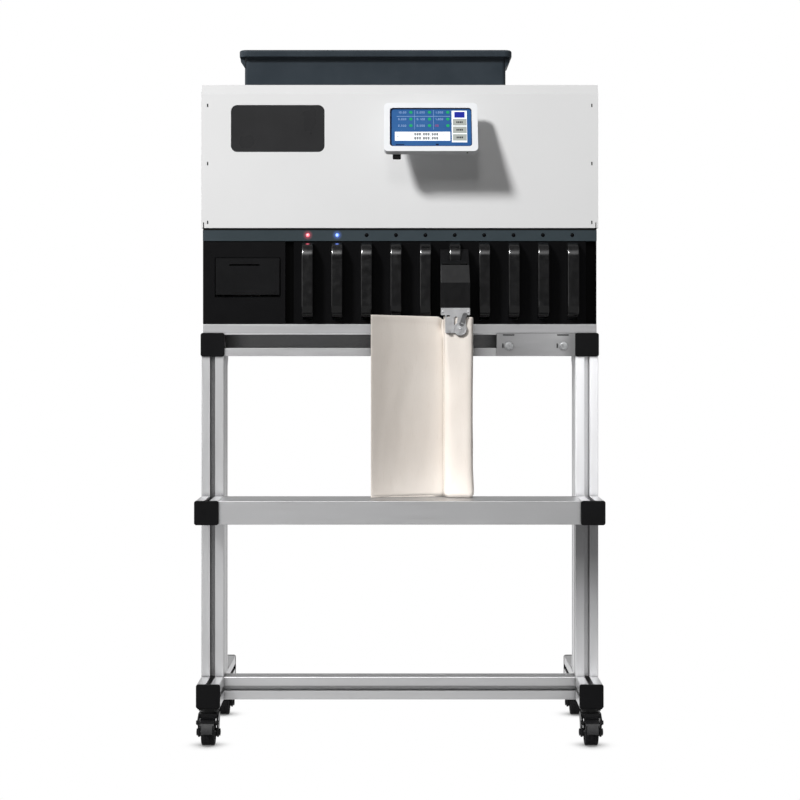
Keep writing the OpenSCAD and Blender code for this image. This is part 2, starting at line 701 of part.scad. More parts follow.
// Vented case, empty inside
supply_low = [180, front_y + 120, outlet_z0];
supply_high = [360, front_y + 230, outlet_z0 + 45];
module power_supply() color("#9a9da1")
    difference() {
        block(supply_low, supply_high);
        block(supply_low + [2, 2, 2], supply_high - [2, 2, 2]);
        for (i = [0 : 7]) translate([supply_low.x + 20 + i * 18, supply_low.y + 20, supply_high.z - 3])
            cube([8, 70, 4]);
    }

// Board on four posts with a processor, a row of connectors and three capacitors
board_z = outlet_z0 + 12;
board_t = 1.6;
module control_board() color("#1f6b3a") {
    block([-20, front_y + 110, board_z], [150, front_y + 240, board_z + board_t]);
    for (x = [-12, 142], y = [front_y + 118, front_y + 232])
        translate([x, y, outlet_z0]) cylinder(r = 4, h = board_z - outlet_z0);
    translate([40, front_y + 160, board_z + board_t]) cube([30, 30, 3.4]);
    for (i = [0 : 5]) translate([-10 + i * 26, front_y + 222, board_z + board_t]) cube([18, 16, 12.4]);
    for (x = [92, 112, 132]) translate([x, front_y + 140, board_z + board_t]) cylinder(r = 7, h = 18);
}

// ---- receipt printer ----

door_x0 = -362.5;
door_x1 = -237.3;
door_z0 = outlet_z0 + 56;
door_z1 = door_z0 + 72;
door_y = front_y - 4;                       // front of the door
door_axis_y = front_y + 2;
door_axis_z = door_z0 + 2;
door_pin_r = 1.5;
slot_x = -306;                              // paper slot
slot_z = door_z0 + 58.6;
platen_y = front_y + 9;
platen_r = 5;
roll_r = 24;
roll_w = 57;
roll_y = front_y + 42;
roll_z = door_z0 + 21.3;
lug_x = [-355, -263];                       // centres of the door's hinge lugs
ear_x = [-349, -257];                       // centres of the ears beside them

module printer_panel() color(BLACK)
    difference() {
        union() {
            block([-panel_hw, front_y, outlet_z0], [printer_x1, front_y + 2.5, outlet_z1]);
            block([printer_x1 - sheet, front_y, outlet_z0], [printer_x1, strip_y, outlet_z1]);
        }
        block([door_x0 - 2, front_y - 1, door_z0 - 5], [door_x1 + 2, front_y + 4, door_z1 + 1]);
    }

// Bucket behind the panel, open to the front, with the two hinge ears
module printer_body() color("#242427")
    difference() {
        union() {
            difference() {
                block([door_x0 - 1, front_y + 2.5, door_z0 - 5], [door_x1 + 1, front_y + 80, door_z1 + 1]);
                block([door_x0 + 1.5, front_y + 2, door_z0 - 3.2],
                    [door_x1 - 1.5, front_y + 78, door_z1 - 1.5]);
                block([door_x0 - 2, front_y + 2, door_z0 - 6], [door_x1 + 2, front_y + 5, door_z0 + 1]);
            }
            for (x = ear_x) extrude_x(x - 2.5, x + 2.5) {
                translate([door_axis_y, door_axis_z]) circle(r = 2.6);
                translate([door_axis_y, door_axis_z - 2.6]) square([8, 5.2]);
                translate([front_y + 5, door_z0 - 4]) square([5, 5]);
            }
        }
        for (x = ear_x) rod_x(x - 4, x + 4, door_axis_y, door_axis_z, door_pin_r + run_gap);
    }

button_x = -247.2;
button_z = door_z0 + 6;
button_r = 3;
module printer_door() color(BLACK)
    difference() {
        union() {
            block([door_x0, door_y, door_z0], [door_x1, front_y - 1, door_z1]);
            for (x = lug_x)
                block([x - 2.5, front_y - 1.5, door_z0 + 0.5], [x + 2.5, door_axis_y + 2, door_z0 + 4]);
            for (i = [0, 1]) rod_x(lug_x[i] - 2.5, ear_x[i] + 3, door_axis_y, door_axis_z, door_pin_r);
            for (s = [-1, 1]) block([slot_x + s * 34 - 1.5, front_y - 1.5, slot_z - 9],
                [slot_x + s * 34 + 1.5, platen_y + 4, slot_z - 1]);
        }
        block([slot_x - 30, door_y - 1, slot_z - 1.5], [slot_x + 30, front_y, slot_z + 1.5]);
        rod_x(slot_x - 40, slot_x + 40, platen_y, slot_z - 5, 2 + run_gap);
        rod_y(door_y - 1, front_y + 5, button_x, button_z, button_r + run_gap);
    }

module platen_roller() color("#0e0e10") {
    rod_x(slot_x - 29, slot_x + 29, platen_y, slot_z - 5, platen_r);
    rod_x(slot_x - 35, slot_x + 35, platen_y, slot_z - 5, 2);
}

module paper_roll() color("#f0efea")
    difference() {
        rod_x(slot_x - roll_w / 2, slot_x + roll_w / 2, roll_y, roll_z, roll_r);
        rod_x(slot_x - roll_w, slot_x + roll_w, roll_y, roll_z, 6);
    }

module feed_button() color("#2a2a2d") {
    rod_y(door_y - 0.8, front_y - 0.4, button_x, button_z, button_r);
    rod_y(front_y - 0.7, front_y + 0.3, button_x, button_z, button_r + 1.2);
}

// ---- display ----

display_x = 60.3;
pivot_y = front_y - 38;
pivot_z = cover_z0 + 176.5;
pivot_back = 34;                            // from the display's face to the pivot
pin_r = 4;
ear_in = 10.4;                              // inside of the bracket's ears
ear_t = 4;
bezel = 11.5;

// Places its child, drawn with the face in the plane y = -pivot_back and the pivot at the origin
module at_display() {
    translate([display_x, pivot_y, pivot_z]) rotate([-display_tilt, 0, 0]) children();
}

module display_bracket() color(WHITE) {
    extrude_y(face_y - 3, face_y) translate([display_x, pivot_z]) round_rect(64, 64, 5);
    for (x = [display_x - ear_in - ear_t, display_x + ear_in]) extrude_x(x, x + ear_t) {
        polygon([[face_y - 2, pivot_z - 22], [face_y - 2, pivot_z + 22],
            [pivot_y, pivot_z + 9], [pivot_y, pivot_z - 9]]);
        translate([pivot_y, pivot_z]) circle(r = 9);
    }
    rod_x(display_x - ear_in - ear_t, display_x + ear_in + ear_t, pivot_y, pivot_z, pin_r);
}

module display_housing() color(WHITE)
    at_display() difference() {
        union() {
            extrude_y(-pivot_back, -pivot_back + 12) round_rect(display_w, display_h, 9);
            extrude_y(-pivot_back + 12, -pivot_back + 24) round_rect(display_w - 30, display_h - 32, 6);
            extrude_x(-10, 10) {
                translate([-pivot_back + 20, -8]) square([pivot_back - 20, 16]);
                circle(r = 8);
            }
            block([-73, -pivot_back + 14, -display_h / 2 - 1], [-59, -pivot_back + 23, -38]);
        }
        extrude_y(-pivot_back - 1, -pivot_back + 4)
            round_rect(display_w - 2 * bezel, display_h - 2 * bezel, 6);
        rod_x(-11, 11, 0, 0, pin_r + run_gap);
    }

module display_screen() color("#2b56a0")
    at_display() extrude_y(-pivot_back + 1, -pivot_back + 4)
        round_rect(display_w - 2 * bezel - 0.4, display_h - 2 * bezel - 0.4, 5.8);

// ---- bag holder ----

chute_hw = 29;
chute_y = front_y - 50;                     // front of the chute
chute_z0 = spout_z0 + 19;
tube_hw = 20;
tube_y = front_y - 46;
tube_z0 = chute_z0 - 55;

module chute_side(t) {
    y1 = t > 0 ? front_y + 1 : front_y - 0.5;
    polygon([[y1, chute_z0 + t], [chute_y + t, chute_z0 + t], [chute_y + t, chute_z0 + 49 - t / 2],
        [chute_y + 12 + t, chute_z0 + 80], [front_y - 14 + t / 2, chute_z0 + 115 - t],
        [y1, chute_z0 + 115 - t]]);
}

clamp_y = chute_y - 0.5;                    // back of the clamp plate
clamp_t = 2;
lever_x = chute_x + 9;
lever_z = chute_z0 - 42;
lever_pin_r = 2.5;

// Chute with its tube, the clamp plate riveted to its front tab, and the lever's pin
module bag_chute() {
    color(BLACK) difference() {
        union() {
            difference() {
                extrude_x(chute_x - chute_hw, chute_x + chute_hw) chute_side(0);
                extrude_x(chute_x - chute_hw + 2, chute_x + chute_hw - 2) chute_side(2);
            }
            block([chute_x - tube_hw, tube_y, tube_z0], [chute_x + tube_hw, front_y - 3, chute_z0 + 2]);
            block([chute_x - chute_hw + 0.5, chute_y, chute_z0 - 12],
                [chute_x + chute_hw - 0.5, chute_y + 2, chute_z0 + 1]);
        }
        block([chute_x - tube_hw + 2, tube_y + 2, tube_z0 - 1],
            [chute_x + tube_hw - 2, front_y - 5, chute_z0 + 3]);
        block([chute_x - tube_hw + 2, tube_y + 2, spout_z0 - 5],
            [chute_x + tube_hw - 2, front_y, chute_z0 + 3]);
        block([chute_x - 13, front_y - 42, chute_z0 + 86], [chute_x + 13, front_y + 1, chute_z0 + 120]);
    }
    color(STEEL) {
        difference() {
            extrude_y(clamp_y - clamp_t, chute_y) {
                translate([chute_x, chute_z0 - 8]) round_rect(57, 14, 2);
                translate([chute_x, chute_z0 - 26]) round_rect(40, 48, 2);
            }
            extrude_y(clamp_y - clamp_t - 1, chute_y + 1) translate([chute_x - 6, chute_z0 - 30])
                rotate(-12) round_rect(6, 22, 2.9);
            block([chute_x - 30, clamp_y, chute_z0 - 51], [chute_x + 30, chute_y + 1, chute_z0 - 14]);
        }
        rod_y(clamp_y - clamp_t - 3.5, clamp_y - clamp_t, lever_x, lever_z, lever_pin_r);
        for (s = [-1, 1])
            rod_y(clamp_y - clamp_t - 1, clamp_y - clamp_t, chute_x + s * 24.5, chute_z0 - 8, 2.4);
    }
}

// Round lever with an arm that leans to the right
lever_lean = 18.7;
lever_l = 31;
module clamp_lever() color(STEEL)
    extrude_y(clamp_y - clamp_t - 2.5, clamp_y - clamp_t - 0.5)
        translate([lever_x, lever_z]) rotate(-lever_lean) difference() {
            union() {
                circle(r = 13);
                translate([-4, 0]) square([8, lever_l]);
                translate([0, lever_l]) circle(r = 4);
            }
            circle(r = lever_pin_r + run_gap);
            translate([0, 20]) circle(r = 1.6);
        }

// Thin-walled bag round the tube: deep under the chute, flat to its left
bag_x0 = -56;
bag_z1 = spout_z0 + 5;
module bag_plan(t) {
    x1 = bag_x0 + bag_w;
    y0 = chute_y + t;
    polygon([[bag_x0 + t, y0], [x1 - t, y0], [x1 - t, front_y - 1 - t], [87 + t / 2, front_y - 1 - t],
        [73 + t / 2, front_y - 34 - t], [bag_x0 + t, front_y - 34 - t]]);
}

module bag() color("#ece2d6")
    difference() {
        translate([0, 0, shelf_top_z + 0.5]) linear_extrude(bag_z1 - shelf_top_z - 0.5) bag_plan(0);
        translate([0, 0, shelf_top_z + 0.5 + bag_wall]) linear_extrude(400) bag_plan(bag_wall);
        block([63, front_y - 31, spout_z0 - 5], [153, front_y + 5, bag_z1 + 1]);
    }

foot_beams();
upright(-1);  // upright_left
upright(1);  // upright_right
lower_cross_rail();
shelf_arms();
bag_shelf();
top_beams();
front_top_rail();
rear_top_rail();
end_caps();
corner_brackets();
frame_bolts();
adjuster_plate();
deck_plate();
caster_plates();
caster_fork_front(-1);  // caster_fork_front_left
caster_fork_front(1);  // caster_fork_front_right
caster_fork(-1, true);  // caster_fork_rear_left
caster_fork(1, true);  // caster_fork_rear_right
caster_wheel(-1, false);  // caster_wheel_front_left
caster_wheel(1, false);  // caster_wheel_front_right
caster_wheel(-1, true);  // caster_wheel_rear_left
caster_wheel(1, true);  // caster_wheel_rear_right
brake_pedal(-1);  // brake_pedal_left
brake_pedal(1);  // brake_pedal_right
base_tray();
side_panels();
outlet_panel();
outlet_spouts();
lamp_bar();
lamps();
front_cover();
rear_cover();
power_inlet();
power_switch();
window_pane();
cover_clips();
hopper_bin();
disc_bed();
feed_disc();
disc_shaft();
feed_motor();
motor_pulley();
drive_belt();
sort_rail();
drop_chutes();
power_supply();
control_board();
printer_panel();
printer_body();
printer_door();
platen_roller();
paper_roll();
feed_button();
display_bracket();
display_housing();
display_screen();
bag_chute();
clamp_lever();
bag();
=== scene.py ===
import json
import math

import bmesh
import bpy
from mathutils import Matrix, Vector, noise


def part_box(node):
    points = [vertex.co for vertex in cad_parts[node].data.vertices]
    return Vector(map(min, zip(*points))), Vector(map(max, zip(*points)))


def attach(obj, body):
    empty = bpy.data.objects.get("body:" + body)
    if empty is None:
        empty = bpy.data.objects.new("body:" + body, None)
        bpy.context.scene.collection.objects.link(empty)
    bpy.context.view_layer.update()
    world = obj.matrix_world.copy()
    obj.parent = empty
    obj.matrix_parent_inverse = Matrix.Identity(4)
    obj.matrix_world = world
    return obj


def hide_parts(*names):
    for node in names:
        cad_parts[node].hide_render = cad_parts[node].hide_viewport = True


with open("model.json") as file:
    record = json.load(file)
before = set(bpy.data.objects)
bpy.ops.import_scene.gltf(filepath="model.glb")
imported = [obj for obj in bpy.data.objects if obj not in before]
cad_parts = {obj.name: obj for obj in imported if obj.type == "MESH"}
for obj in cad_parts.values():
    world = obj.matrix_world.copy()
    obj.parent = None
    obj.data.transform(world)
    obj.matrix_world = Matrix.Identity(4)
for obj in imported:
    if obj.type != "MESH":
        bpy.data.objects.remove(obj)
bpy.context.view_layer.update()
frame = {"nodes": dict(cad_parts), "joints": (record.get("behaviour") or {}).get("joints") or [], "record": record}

# Looks of a coin sorting machine on a castor cart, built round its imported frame.
# Metres, +Z up, front towards -Y. MM turns the millimetres below into metres.
MM = 0.001
NODES = frame["nodes"]
SLOT_OF = {p["node"]: p["material_slot"] for p in frame["record"]["subparts"]}


def mm(*values):
    """A point or size given in millimetres, in metres."""
    return Vector(values) * MM


class Graph:
    """Makes and joins the shader nodes of a world or a material."""

    def __init__(self, tree):
        self.tree = tree

    def node(self, kind, **values):
        made = self.tree.nodes.new("ShaderNode" + kind)
        for name, value in values.items():
            made.inputs[name.replace("_", " ")].default_value = value
        return made

    def link(self, source, target):
        self.tree.links.new(source, target)

    def math(self, kind, first, second=None):
        made = self.node("Math")
        made.operation = kind
        for i, value in enumerate((first, second)):
            if value is None:
                continue
            if isinstance(value, (int, float)):
                made.inputs[i].default_value = value
            else:
                self.link(value, made.inputs[i])
        return made.outputs[0]

    def span(self, value, low, high, to_low=0.0, to_high=1.0, smooth=False):
        """Maps a value socket's range from low to high onto to_low to to_high, and clamps it."""
        made = self.node("MapRange", From_Min=low, From_Max=high, To_Min=to_low, To_Max=to_high)
        if smooth:
            made.interpolation_type = "SMOOTHSTEP"
        self.link(value, made.inputs["Value"])
        return made.outputs["Result"]


# ---------------------------------------------------------------- camera and light

CAMERA_Y = -4.188
CAMERA_Z = 0.770
LENS = 93.6
SHIFT_X = 0.0003
SHIFT_Y = -0.0675

KEY_TARGET = (0.05, -0.1, 1.15)
KEY_TRAVEL = (0.81, 1.0, -0.85)
KEY_DISTANCE = 7.0
KEY_SIZE = 1.1
KEY_POWER = 531
GLINT_POWER = 8000                          # lights only the spouts, and only their gloss
FILL_TRAVEL = (0.08, 1.0, -0.6)
FILL_POWER = 0.28
FILL_SPREAD = 12

AMBIENT = 0.13                              # diffuse light of the room
ROOM = (0.40, 0.66)                         # what gloss sees of it, near the floor and overhead
OVERHEAD = 4.5                              # light panel above the camera, seen by gloss
SIDE = 3.0                                  # upright light panel at the left, seen by gloss

WHITE = (1, 1, 1, 1)
FLOOR_HALF = 9.0
SHADE_REACH = 0.04                          # how far round a castor the painted contact shade on the floor reaches
SHADE_DARKEST = 0.18


def make_camera():
    data = bpy.data.cameras.new("camera")
    data.lens = LENS
    data.shift_x = SHIFT_X
    data.shift_y = SHIFT_Y
    data.clip_end = 60
    camera = bpy.data.objects.new("camera", data)
    camera.location = (0, CAMERA_Y, CAMERA_Z)
    camera.rotation_euler = (math.pi / 2, 0, 0)
    bpy.context.scene.collection.objects.link(camera)
    bpy.context.scene.camera = camera


def aim(light, place, travel):
    """Puts a light at a place, shining along travel."""
    light.location = place
    light.rotation_mode = "QUATERNION"
    light.rotation_quaternion = Vector(travel).to_track_quat("-Z", "Y")
    bpy.context.scene.collection.objects.link(light)


def make_sun(name, travel, power, spread):
    """Distant light, spread degrees wide."""
    data = bpy.data.lights.new(name, "SUN")
    data.energy = power
    data.angle = math.radians(spread)
    aim(bpy.data.objects.new(name, data), (0, 0, 3), travel)


def make_softbox(name, power):
    """Round light up at the left, near enough to fall off across the object."""
    data = bpy.data.lights.new(name, "AREA")
    data.shape = "DISK"
    data.size = KEY_SIZE
    data.energy = power
    travel = Vector(KEY_TRAVEL).normalized()
    light = bpy.data.objects.new(name, data)
    aim(light, Vector(KEY_TARGET) - travel * KEY_DISTANCE, travel)
    return light


def make_world():
    """White to the camera, and a grey studio with two light panels for everything else."""
    world = bpy.data.worlds.new("studio")
    world.use_nodes = True
    bpy.context.scene.world = world
    world.node_tree.nodes.clear()
    graph = Graph(world.node_tree)
    path = graph.node("LightPath")

    def background(strength):
        return graph.node("Background", Color=WHITE, Strength=strength)

    def mix(fac, first, second):
        node = graph.node("MixShader")
        for i, source in enumerate((fac, first.outputs[0], second.outputs[0])):
            graph.link(source, node.inputs[i])
        return node

    def ramp(value, low, high, to_low=0.0, to_high=1.0):
        return graph.span(value, low, high, to_low, to_high, smooth=True)

    split = graph.node("SeparateXYZ")
    graph.link(graph.node("TexCoord").outputs["Generated"], split.inputs[0])
    x, y, z = split.outputs
    overhead = graph.math("MULTIPLY", ramp(z, 0.26, 0.40), ramp(z, 0.66, 0.82, 1, 0))
    overhead = graph.math("MULTIPLY", overhead, ramp(y, -0.1, -0.4, 0, OVERHEAD))
    side = graph.math("MULTIPLY", ramp(x, -0.80, -0.92), ramp(z, 0.25, 0.5, SIDE, 0))
    panels = graph.math("ADD", overhead, side)
    glossy = background(1.0)
    graph.link(graph.math("ADD", ramp(z, -0.6, 0.9, *ROOM), panels), glossy.inputs["Strength"])
    lit = mix(path.outputs["Is Glossy Ray"], background(AMBIENT), glossy)
    seen = mix(path.outputs["Is Camera Ray"], lit, background(1.0))
    graph.link(seen.outputs[0], graph.node("OutputWorld").inputs["Surface"])


def make_floor():
    """Pale floor that glows evenly, with painted contact shade: it darkens only close to what stands on it."""
    mesh = bpy.data.meshes.new("floor")
    bm = bmesh.new()
    bmesh.ops.create_grid(bm, x_segments=1, y_segments=1, size=FLOOR_HALF)
    bm.to_mesh(mesh)
    bm.free()
    floor = bpy.data.objects.new("floor", mesh)
    bpy.context.scene.collection.objects.link(floor)
    material = bpy.data.materials.new("floor")
    material.use_nodes = True
    material.node_tree.nodes.clear()
    graph = Graph(material.node_tree)
    shade = graph.node("AmbientOcclusion", Distance=SHADE_REACH)
    shade.samples = 8
    glow = graph.node("Emission")
    graph.link(graph.span(shade.outputs["AO"], 0.25, 0.9, SHADE_DARKEST), glow.inputs["Color"])
    graph.link(glow.outputs[0], graph.node("OutputMaterial").inputs["Surface"])
    mesh.materials.append(material)
    floor.visible_diffuse = False


bpy.context.scene.view_settings.view_transform = "Standard"
make_camera()
make_world()
make_floor()
make_softbox("key", KEY_POWER)
glint = make_softbox("glint", GLINT_POWER)
glint.visible_diffuse = False
glint.light_linking.receiver_collection = bpy.data.collections.new("glossy_spouts")
make_sun("fill", FILL_TRAVEL, FILL_POWER, FILL_SPREAD)


# ---------------------------------------------------------------- materials


def srgb(red, green, blue):
    """Linear colour of an 8-bit sRGB one."""
    def linear(v):
        v /= 255
        return v / 12.92 if v <= 0.04045 else ((v + 0.055) / 1.055) ** 2.4
    return (linear(red), linear(green), linear(blue), 1.0)


def grey(level):
    """Grey with the faint blue of most of the object's blacks and metals."""
    return srgb(level, level, level + 1)


class Paint(Graph):
    """A Principled material with colour, roughness and relief from noise in the part's space."""

    def __init__(self, name, roughness, metallic=0.0, **sockets):
        self.material = bpy.data.materials.new(name)
        self.material.use_nodes = True
        super().__init__(self.material.node_tree)
        self.shader = self.tree.nodes["Principled BSDF"]
        self.set("Metallic", metallic)
        self.set("Roughness", roughness)
        for socket, value in sockets.items():
            self.set(socket.replace("_", " "), value)
        self.place = self.node("TexCoord").outputs["Object"]
        self.height = None

    def set(self, socket, value):
        self.shader.inputs[socket].default_value = value

    def axis(self, letter):
        split = self.node("SeparateXYZ")
        self.link(self.place, split.inputs[0])
        return split.outputs[letter]

    def noise(self, scale, detail=3.0, stretch=(1, 1, 1)):
        """Noise between 0 and 1 with scale waves a metre, fewer along a stretched axis."""
        mapping = self.node("Mapping", Scale=stretch)
        self.link(self.place, mapping.inputs["Vector"])
        made = self.node("TexNoise", Scale=scale, Detail=detail)
        self.link(mapping.outputs[0], made.inputs["Vector"])
        return made.outputs["Fac"]

    def blend(self, fac, first, second, kind="MIX"):
        """Colour between two colours or colour sockets, fac being a socket or a number."""
        made = self.node("Mix")
        made.data_type = "RGBA"
        made.blend_type = kind
        for index, value in ((0, fac), (6, first), (7, second)):
            if isinstance(value, (tuple, float)):
                made.inputs[index].default_value = value
            else:
                self.link(value, made.inputs[index])
        return made.outputs[2]

    def colour(self, value):
        self.link(value, self.shader.inputs["Base Color"])
        return self

    def tones(self, dark, light, scale=9.0, stretch=(1, 1, 1), low=0.35, high=0.65):
        """Base colour that drifts between two tones."""
        return self.colour(self.blend(self.span(self.noise(scale, 4, stretch), low, high), dark, light))

    def rough(self, low, high, scale=60.0, stretch=(1, 1, 1)):
        """Roughness that varies over the surface."""
        level = self.span(self.noise(scale, 4, stretch), 0.3, 0.7, low, high)
        self.link(level, self.shader.inputs["Roughness"])
        return self

    def glow(self, value):
        """Emits a colour socket's colour."""
        self.link(value, self.shader.inputs["Emission Color"])
        return self

    def relief(self, value, depth, strength=1.0):
        """Adds a height between 0 and 1, depth millimetres deep, to the bump."""
        bump = self.node("Bump", Strength=strength, Distance=depth * MM)
        self.link(value, bump.inputs["Height"])
        if self.height is not None:
            self.link(self.height, bump.inputs["Normal"])
        self.height = bump.outputs["Normal"]
        self.link(self.height, self.shader.inputs["Normal"])
        return self

    def grain(self, scale, depth, detail=2.0, stretch=(1, 1, 1)):
        return self.relief(self.noise(scale, detail, stretch), depth)

    def painted_hollow_shade(self, reach, darkest):
        """Factor of painted shade in hollows: darkest deep inside a hollow reach millimetres wide, 1 in the open.
        """
        shade = self.node("AmbientOcclusion", Distance=reach * MM)
        shade.samples = 6
        return self.span(shade.outputs["AO"], 0.25, 0.85, darkest, 1.0)

    def dim(self, factor):
        """Multiplies the base colour by a factor socket."""
        tone = self.shader.inputs["Base Color"].links[0].from_socket
        return self.colour(self.blend(factor, (0, 0, 0, 1), tone))

    def ring(self, centre, radius, inner=0.0):
        """1 within inner metres of a point, falling to 0 at radius."""
        made = self.node("VectorMath")
        made.operation = "DISTANCE"
        self.link(self.place, made.inputs[0])
        made.inputs[1].default_value = centre
        return self.span(made.outputs["Value"], inner, radius, 1.0, 0.0, smooth=True)


def aluminium(name, along, dark=(176, 176, 177), light=(192, 192, 193), reach=14, darkest=0.1):
    """Satin anodised extrusion with fine die lines along it, with painted shade that darkens it inside its slots.
    """
    stretch = [1.0 if letter != along else 0.012 for letter in "xyz"]
    paint = Paint(name, 0.36, 0.9)
    paint.tones(srgb(*dark), srgb(*light), 4, stretch).dim(paint.painted_hollow_shade(reach, darkest))
    paint.rough(0.3, 0.42, 900, stretch)
    paint.grain(2600, 0.02, 1, stretch)
    paint.grain(40, 0.05, 2)
    return paint


def crosswise_aluminium(name, reach, darkest, tone=177):
    """Extrusions and plates that lie across the cart, with painted shade that makes them a little darker towards
    the right.
    """
    dark = (tone - 8, tone - 8, tone - 7)
    light = (tone + 8, tone + 8, tone + 9)
    paint = aluminium(name, "x", dark, light, reach, darkest)
    return paint.dim(paint.span(paint.axis("X"), -0.36, 0.36, 1.0, 0.84))


def adjuster_paint():
    """Brushed plate with painted reflection and shade: darker towards its left, palest before its right end and
    darker again at that end.
    """
    paint = crosswise_aluminium("aluminium_adjuster", 5, 0.3, 159)
    along = paint.axis("X")
    paint.dim(paint.span(along, 0.20, 0.30, 0.66, 1.0))
    paint.dim(paint.span(along, 0.318, 0.338, 1.0, 0.62))
    return paint.grain(180, 0.03, 2, (0.05, 1, 1))


SIDE_TONE = 0.62                            # of the right upright's sides and back, behind its front, which get none of its painted light


def upright_painted_light():
    """The right upright with painted light: a painted reflection makes it brighter towards the top, painted shadow
    of the shelf darkens it below the shelf, and it is paler again at the foot.
    """
    paint = aluminium("aluminium_upright_painted_light", "z", (232, 232, 234), (240, 240, 242), 12, 0.2)
    height = paint.axis("Z")
    # Painted reflection brightens the front towards the top; below the shelf the level follows foot instead,
    # darkest just under the shelf as painted shadow of it and paler towards the foot.
    above = paint.span(height, 0.47, 0.73, 0.80, 1.0)
    below = paint.math("SUBTRACT", 1, paint.span(height, 0.42, 0.47, 0.0, 1.0))
    foot = paint.span(height, 0.12, 0.36, 0.62, 0.16)
    drop = paint.math("SUBTRACT", above, foot)
    level = paint.math("SUBTRACT", above, paint.math("MULTIPLY", below, drop))
    rear = paint.span(paint.axis("Y"), -0.086, -0.05)
    level = paint.math("MAXIMUM", level, paint.math("MULTIPLY", rear, SIDE_TONE))
    level = paint.math("MINIMUM", level, paint.span(rear, 0.0, 1.0, 1.0, SIDE_TONE))
    return paint.dim(level)


def bare_metal(name, dark, light, roughness, grain_scale=700, depth=0.03, metallic=1.0):
    paint = Paint(name, roughness, metallic)
    paint.tones(dark, light, 25).rough(roughness - 0.07, roughness + 0.09, 160)
    return paint.grain(grain_scale, depth).material


def moulded_paint(name, dark, light, roughness, specular=0.4, grain_scale=1500, depth=0.03, waves=0.03):
    """Moulded plastic with a fine spark-eroded texture over slight waves."""
    paint = Paint(name, roughness, 0.0, Specular_IOR_Level=specular)
    paint.tones(dark, light, 14).rough(roughness - 0.05, roughness + 0.06, 90)
    return paint.grain(grain_scale, depth).grain(20, waves, 1)


def moulded(*finish):
    return moulded_paint(*finish).material


def powder_coat(name, dark, light, roughness, specular=0.4):
    """Powder coat: orange peel over a fine texture."""
    paint = Paint(name, roughness, 0.0, Specular_IOR_Level=specular)
    paint.tones(dark, light, 3).rough(roughness - 0.05, roughness + 0.05, 40)
    paint.grain(420, 0.035)
    return paint.grain(2200, 0.012).material


def cover_paint():
    """Near-white powder coat; what faces up is painted darker, as painted shade against the stronger light that
    falls on it.
    """
    paint = Paint("cover_paint", 0.42, 0.0, Specular_IOR_Level=0.12)
    facing = paint.node("SeparateXYZ")
    paint.link(paint.node("NewGeometry").outputs["Normal"], facing.inputs[0])
    paint.tones(srgb(229, 229, 229), srgb(232, 232, 232), 3).rough(0.37, 0.47, 40)
    paint.dim(paint.span(facing.outputs["Z"], 0.3, 0.8, 1.0, 0.72))
    return paint.grain(420, 0.035).grain(2200, 0.012).material


def lamp_bar_paint():
    """Slate powder coat with a painted glow: the light of the two lit lamps on it is painted round them as
    emission.
    """
    paint = Paint("lamp_bar_paint", 0.42, 0.0, Specular_IOR_Level=0.1, Emission_Strength=1.0)
    paint.tones(srgb(52, 61, 65), srgb(57, 66, 71), 5).rough(0.36, 0.48, 50)
    paint.grain(420, 0.03)
    painted_halos = [paint.blend(paint.ring(LAMP_AT[i], 0.0108, 0.002), DARK, PAINTED_HALO[i]) for i in (0, 1)]
    return paint.glow(paint.blend(1.0, *painted_halos, "ADD")).material


def lit_lens(name, centre, core, edge):
    """Lit lamp: a pale core that turns to the lamp's colour at its edge."""
    paint = Paint(name, 0.3, 0.0, Emission_Strength=1.0, Specular_IOR_Level=0.2)
    paint.tones(edge, core, 400)
    return paint.glow(paint.blend(paint.ring(centre, 0.0036, 0.0004), edge, core)).material


THREAD_PITCH = 0.7 * MM


def bag_cloth():
    """Dense cream cloth: plain weave, slubs and a soft sheen, with painted shade: darker on the flat part left of
    the fold, and in its creases and hollows.
    """
    paint = Paint("bag_cloth", 0.72, 0.0, Specular_IOR_Level=0.2, Sheen_Weight=0.15, Sheen_Roughness=0.5)
    tone = paint.blend(paint.span(paint.noise(7, 5), 0.3, 0.7), srgb(248, 238, 228), srgb(253, 245, 236))
    slub = paint.span(paint.noise(900, 2, (1, 1, 0.05)), 0.6, 0.9)
    paint.colour(paint.blend(slub, tone, srgb(238, 226, 215))).rough(0.66, 0.8, 120)
    across = paint.axis("X")
    # Painted shade: the flat part left of the fold is darker, most of all at its left seam; past the fold the
    # cloth keeps its full tone.
    painted_left_shade = paint.span(across, -0.056, 0.086, 0.69, 0.84)
    past_fold = paint.span(across, 0.0865, 0.0885)
    paint.dim(paint.math("MAXIMUM", painted_left_shade, past_fold)).dim(paint.painted_hollow_shade(7, 0.72))

    def threads(position):
        return paint.math("SINE", paint.math("MULTIPLY", position, 2 * math.pi / THREAD_PITCH))

    round_bag = paint.math("ADD", across, paint.axis("Y"))
    weave = paint.math("MULTIPLY", threads(round_bag), threads(paint.axis("Z")))
    paint.relief(paint.span(weave, -1, 1), 0.06)
    return paint.grain(30, 0.5, 3).material


def circuit_board():
    paint = Paint("circuit_board", 0.4, 0.0, Coat_Weight=0.4)
    tracks = paint.span(paint.noise(260, 0, (1, 0.1, 1)), 0.52, 0.54)
    paint.colour(paint.blend(tracks, srgb(20, 78, 44), srgb(38, 112, 66))).rough(0.35, 0.5, 200)
    return paint.relief(tracks, 0.05).material


def rubber(name, dark, light):
    paint = Paint(name, 0.72, 0.0, Specular_IOR_Level=0.12)
    paint.tones(dark, light, 40).rough(0.6, 0.85, 150)
    return paint.grain(900, 0.06).material


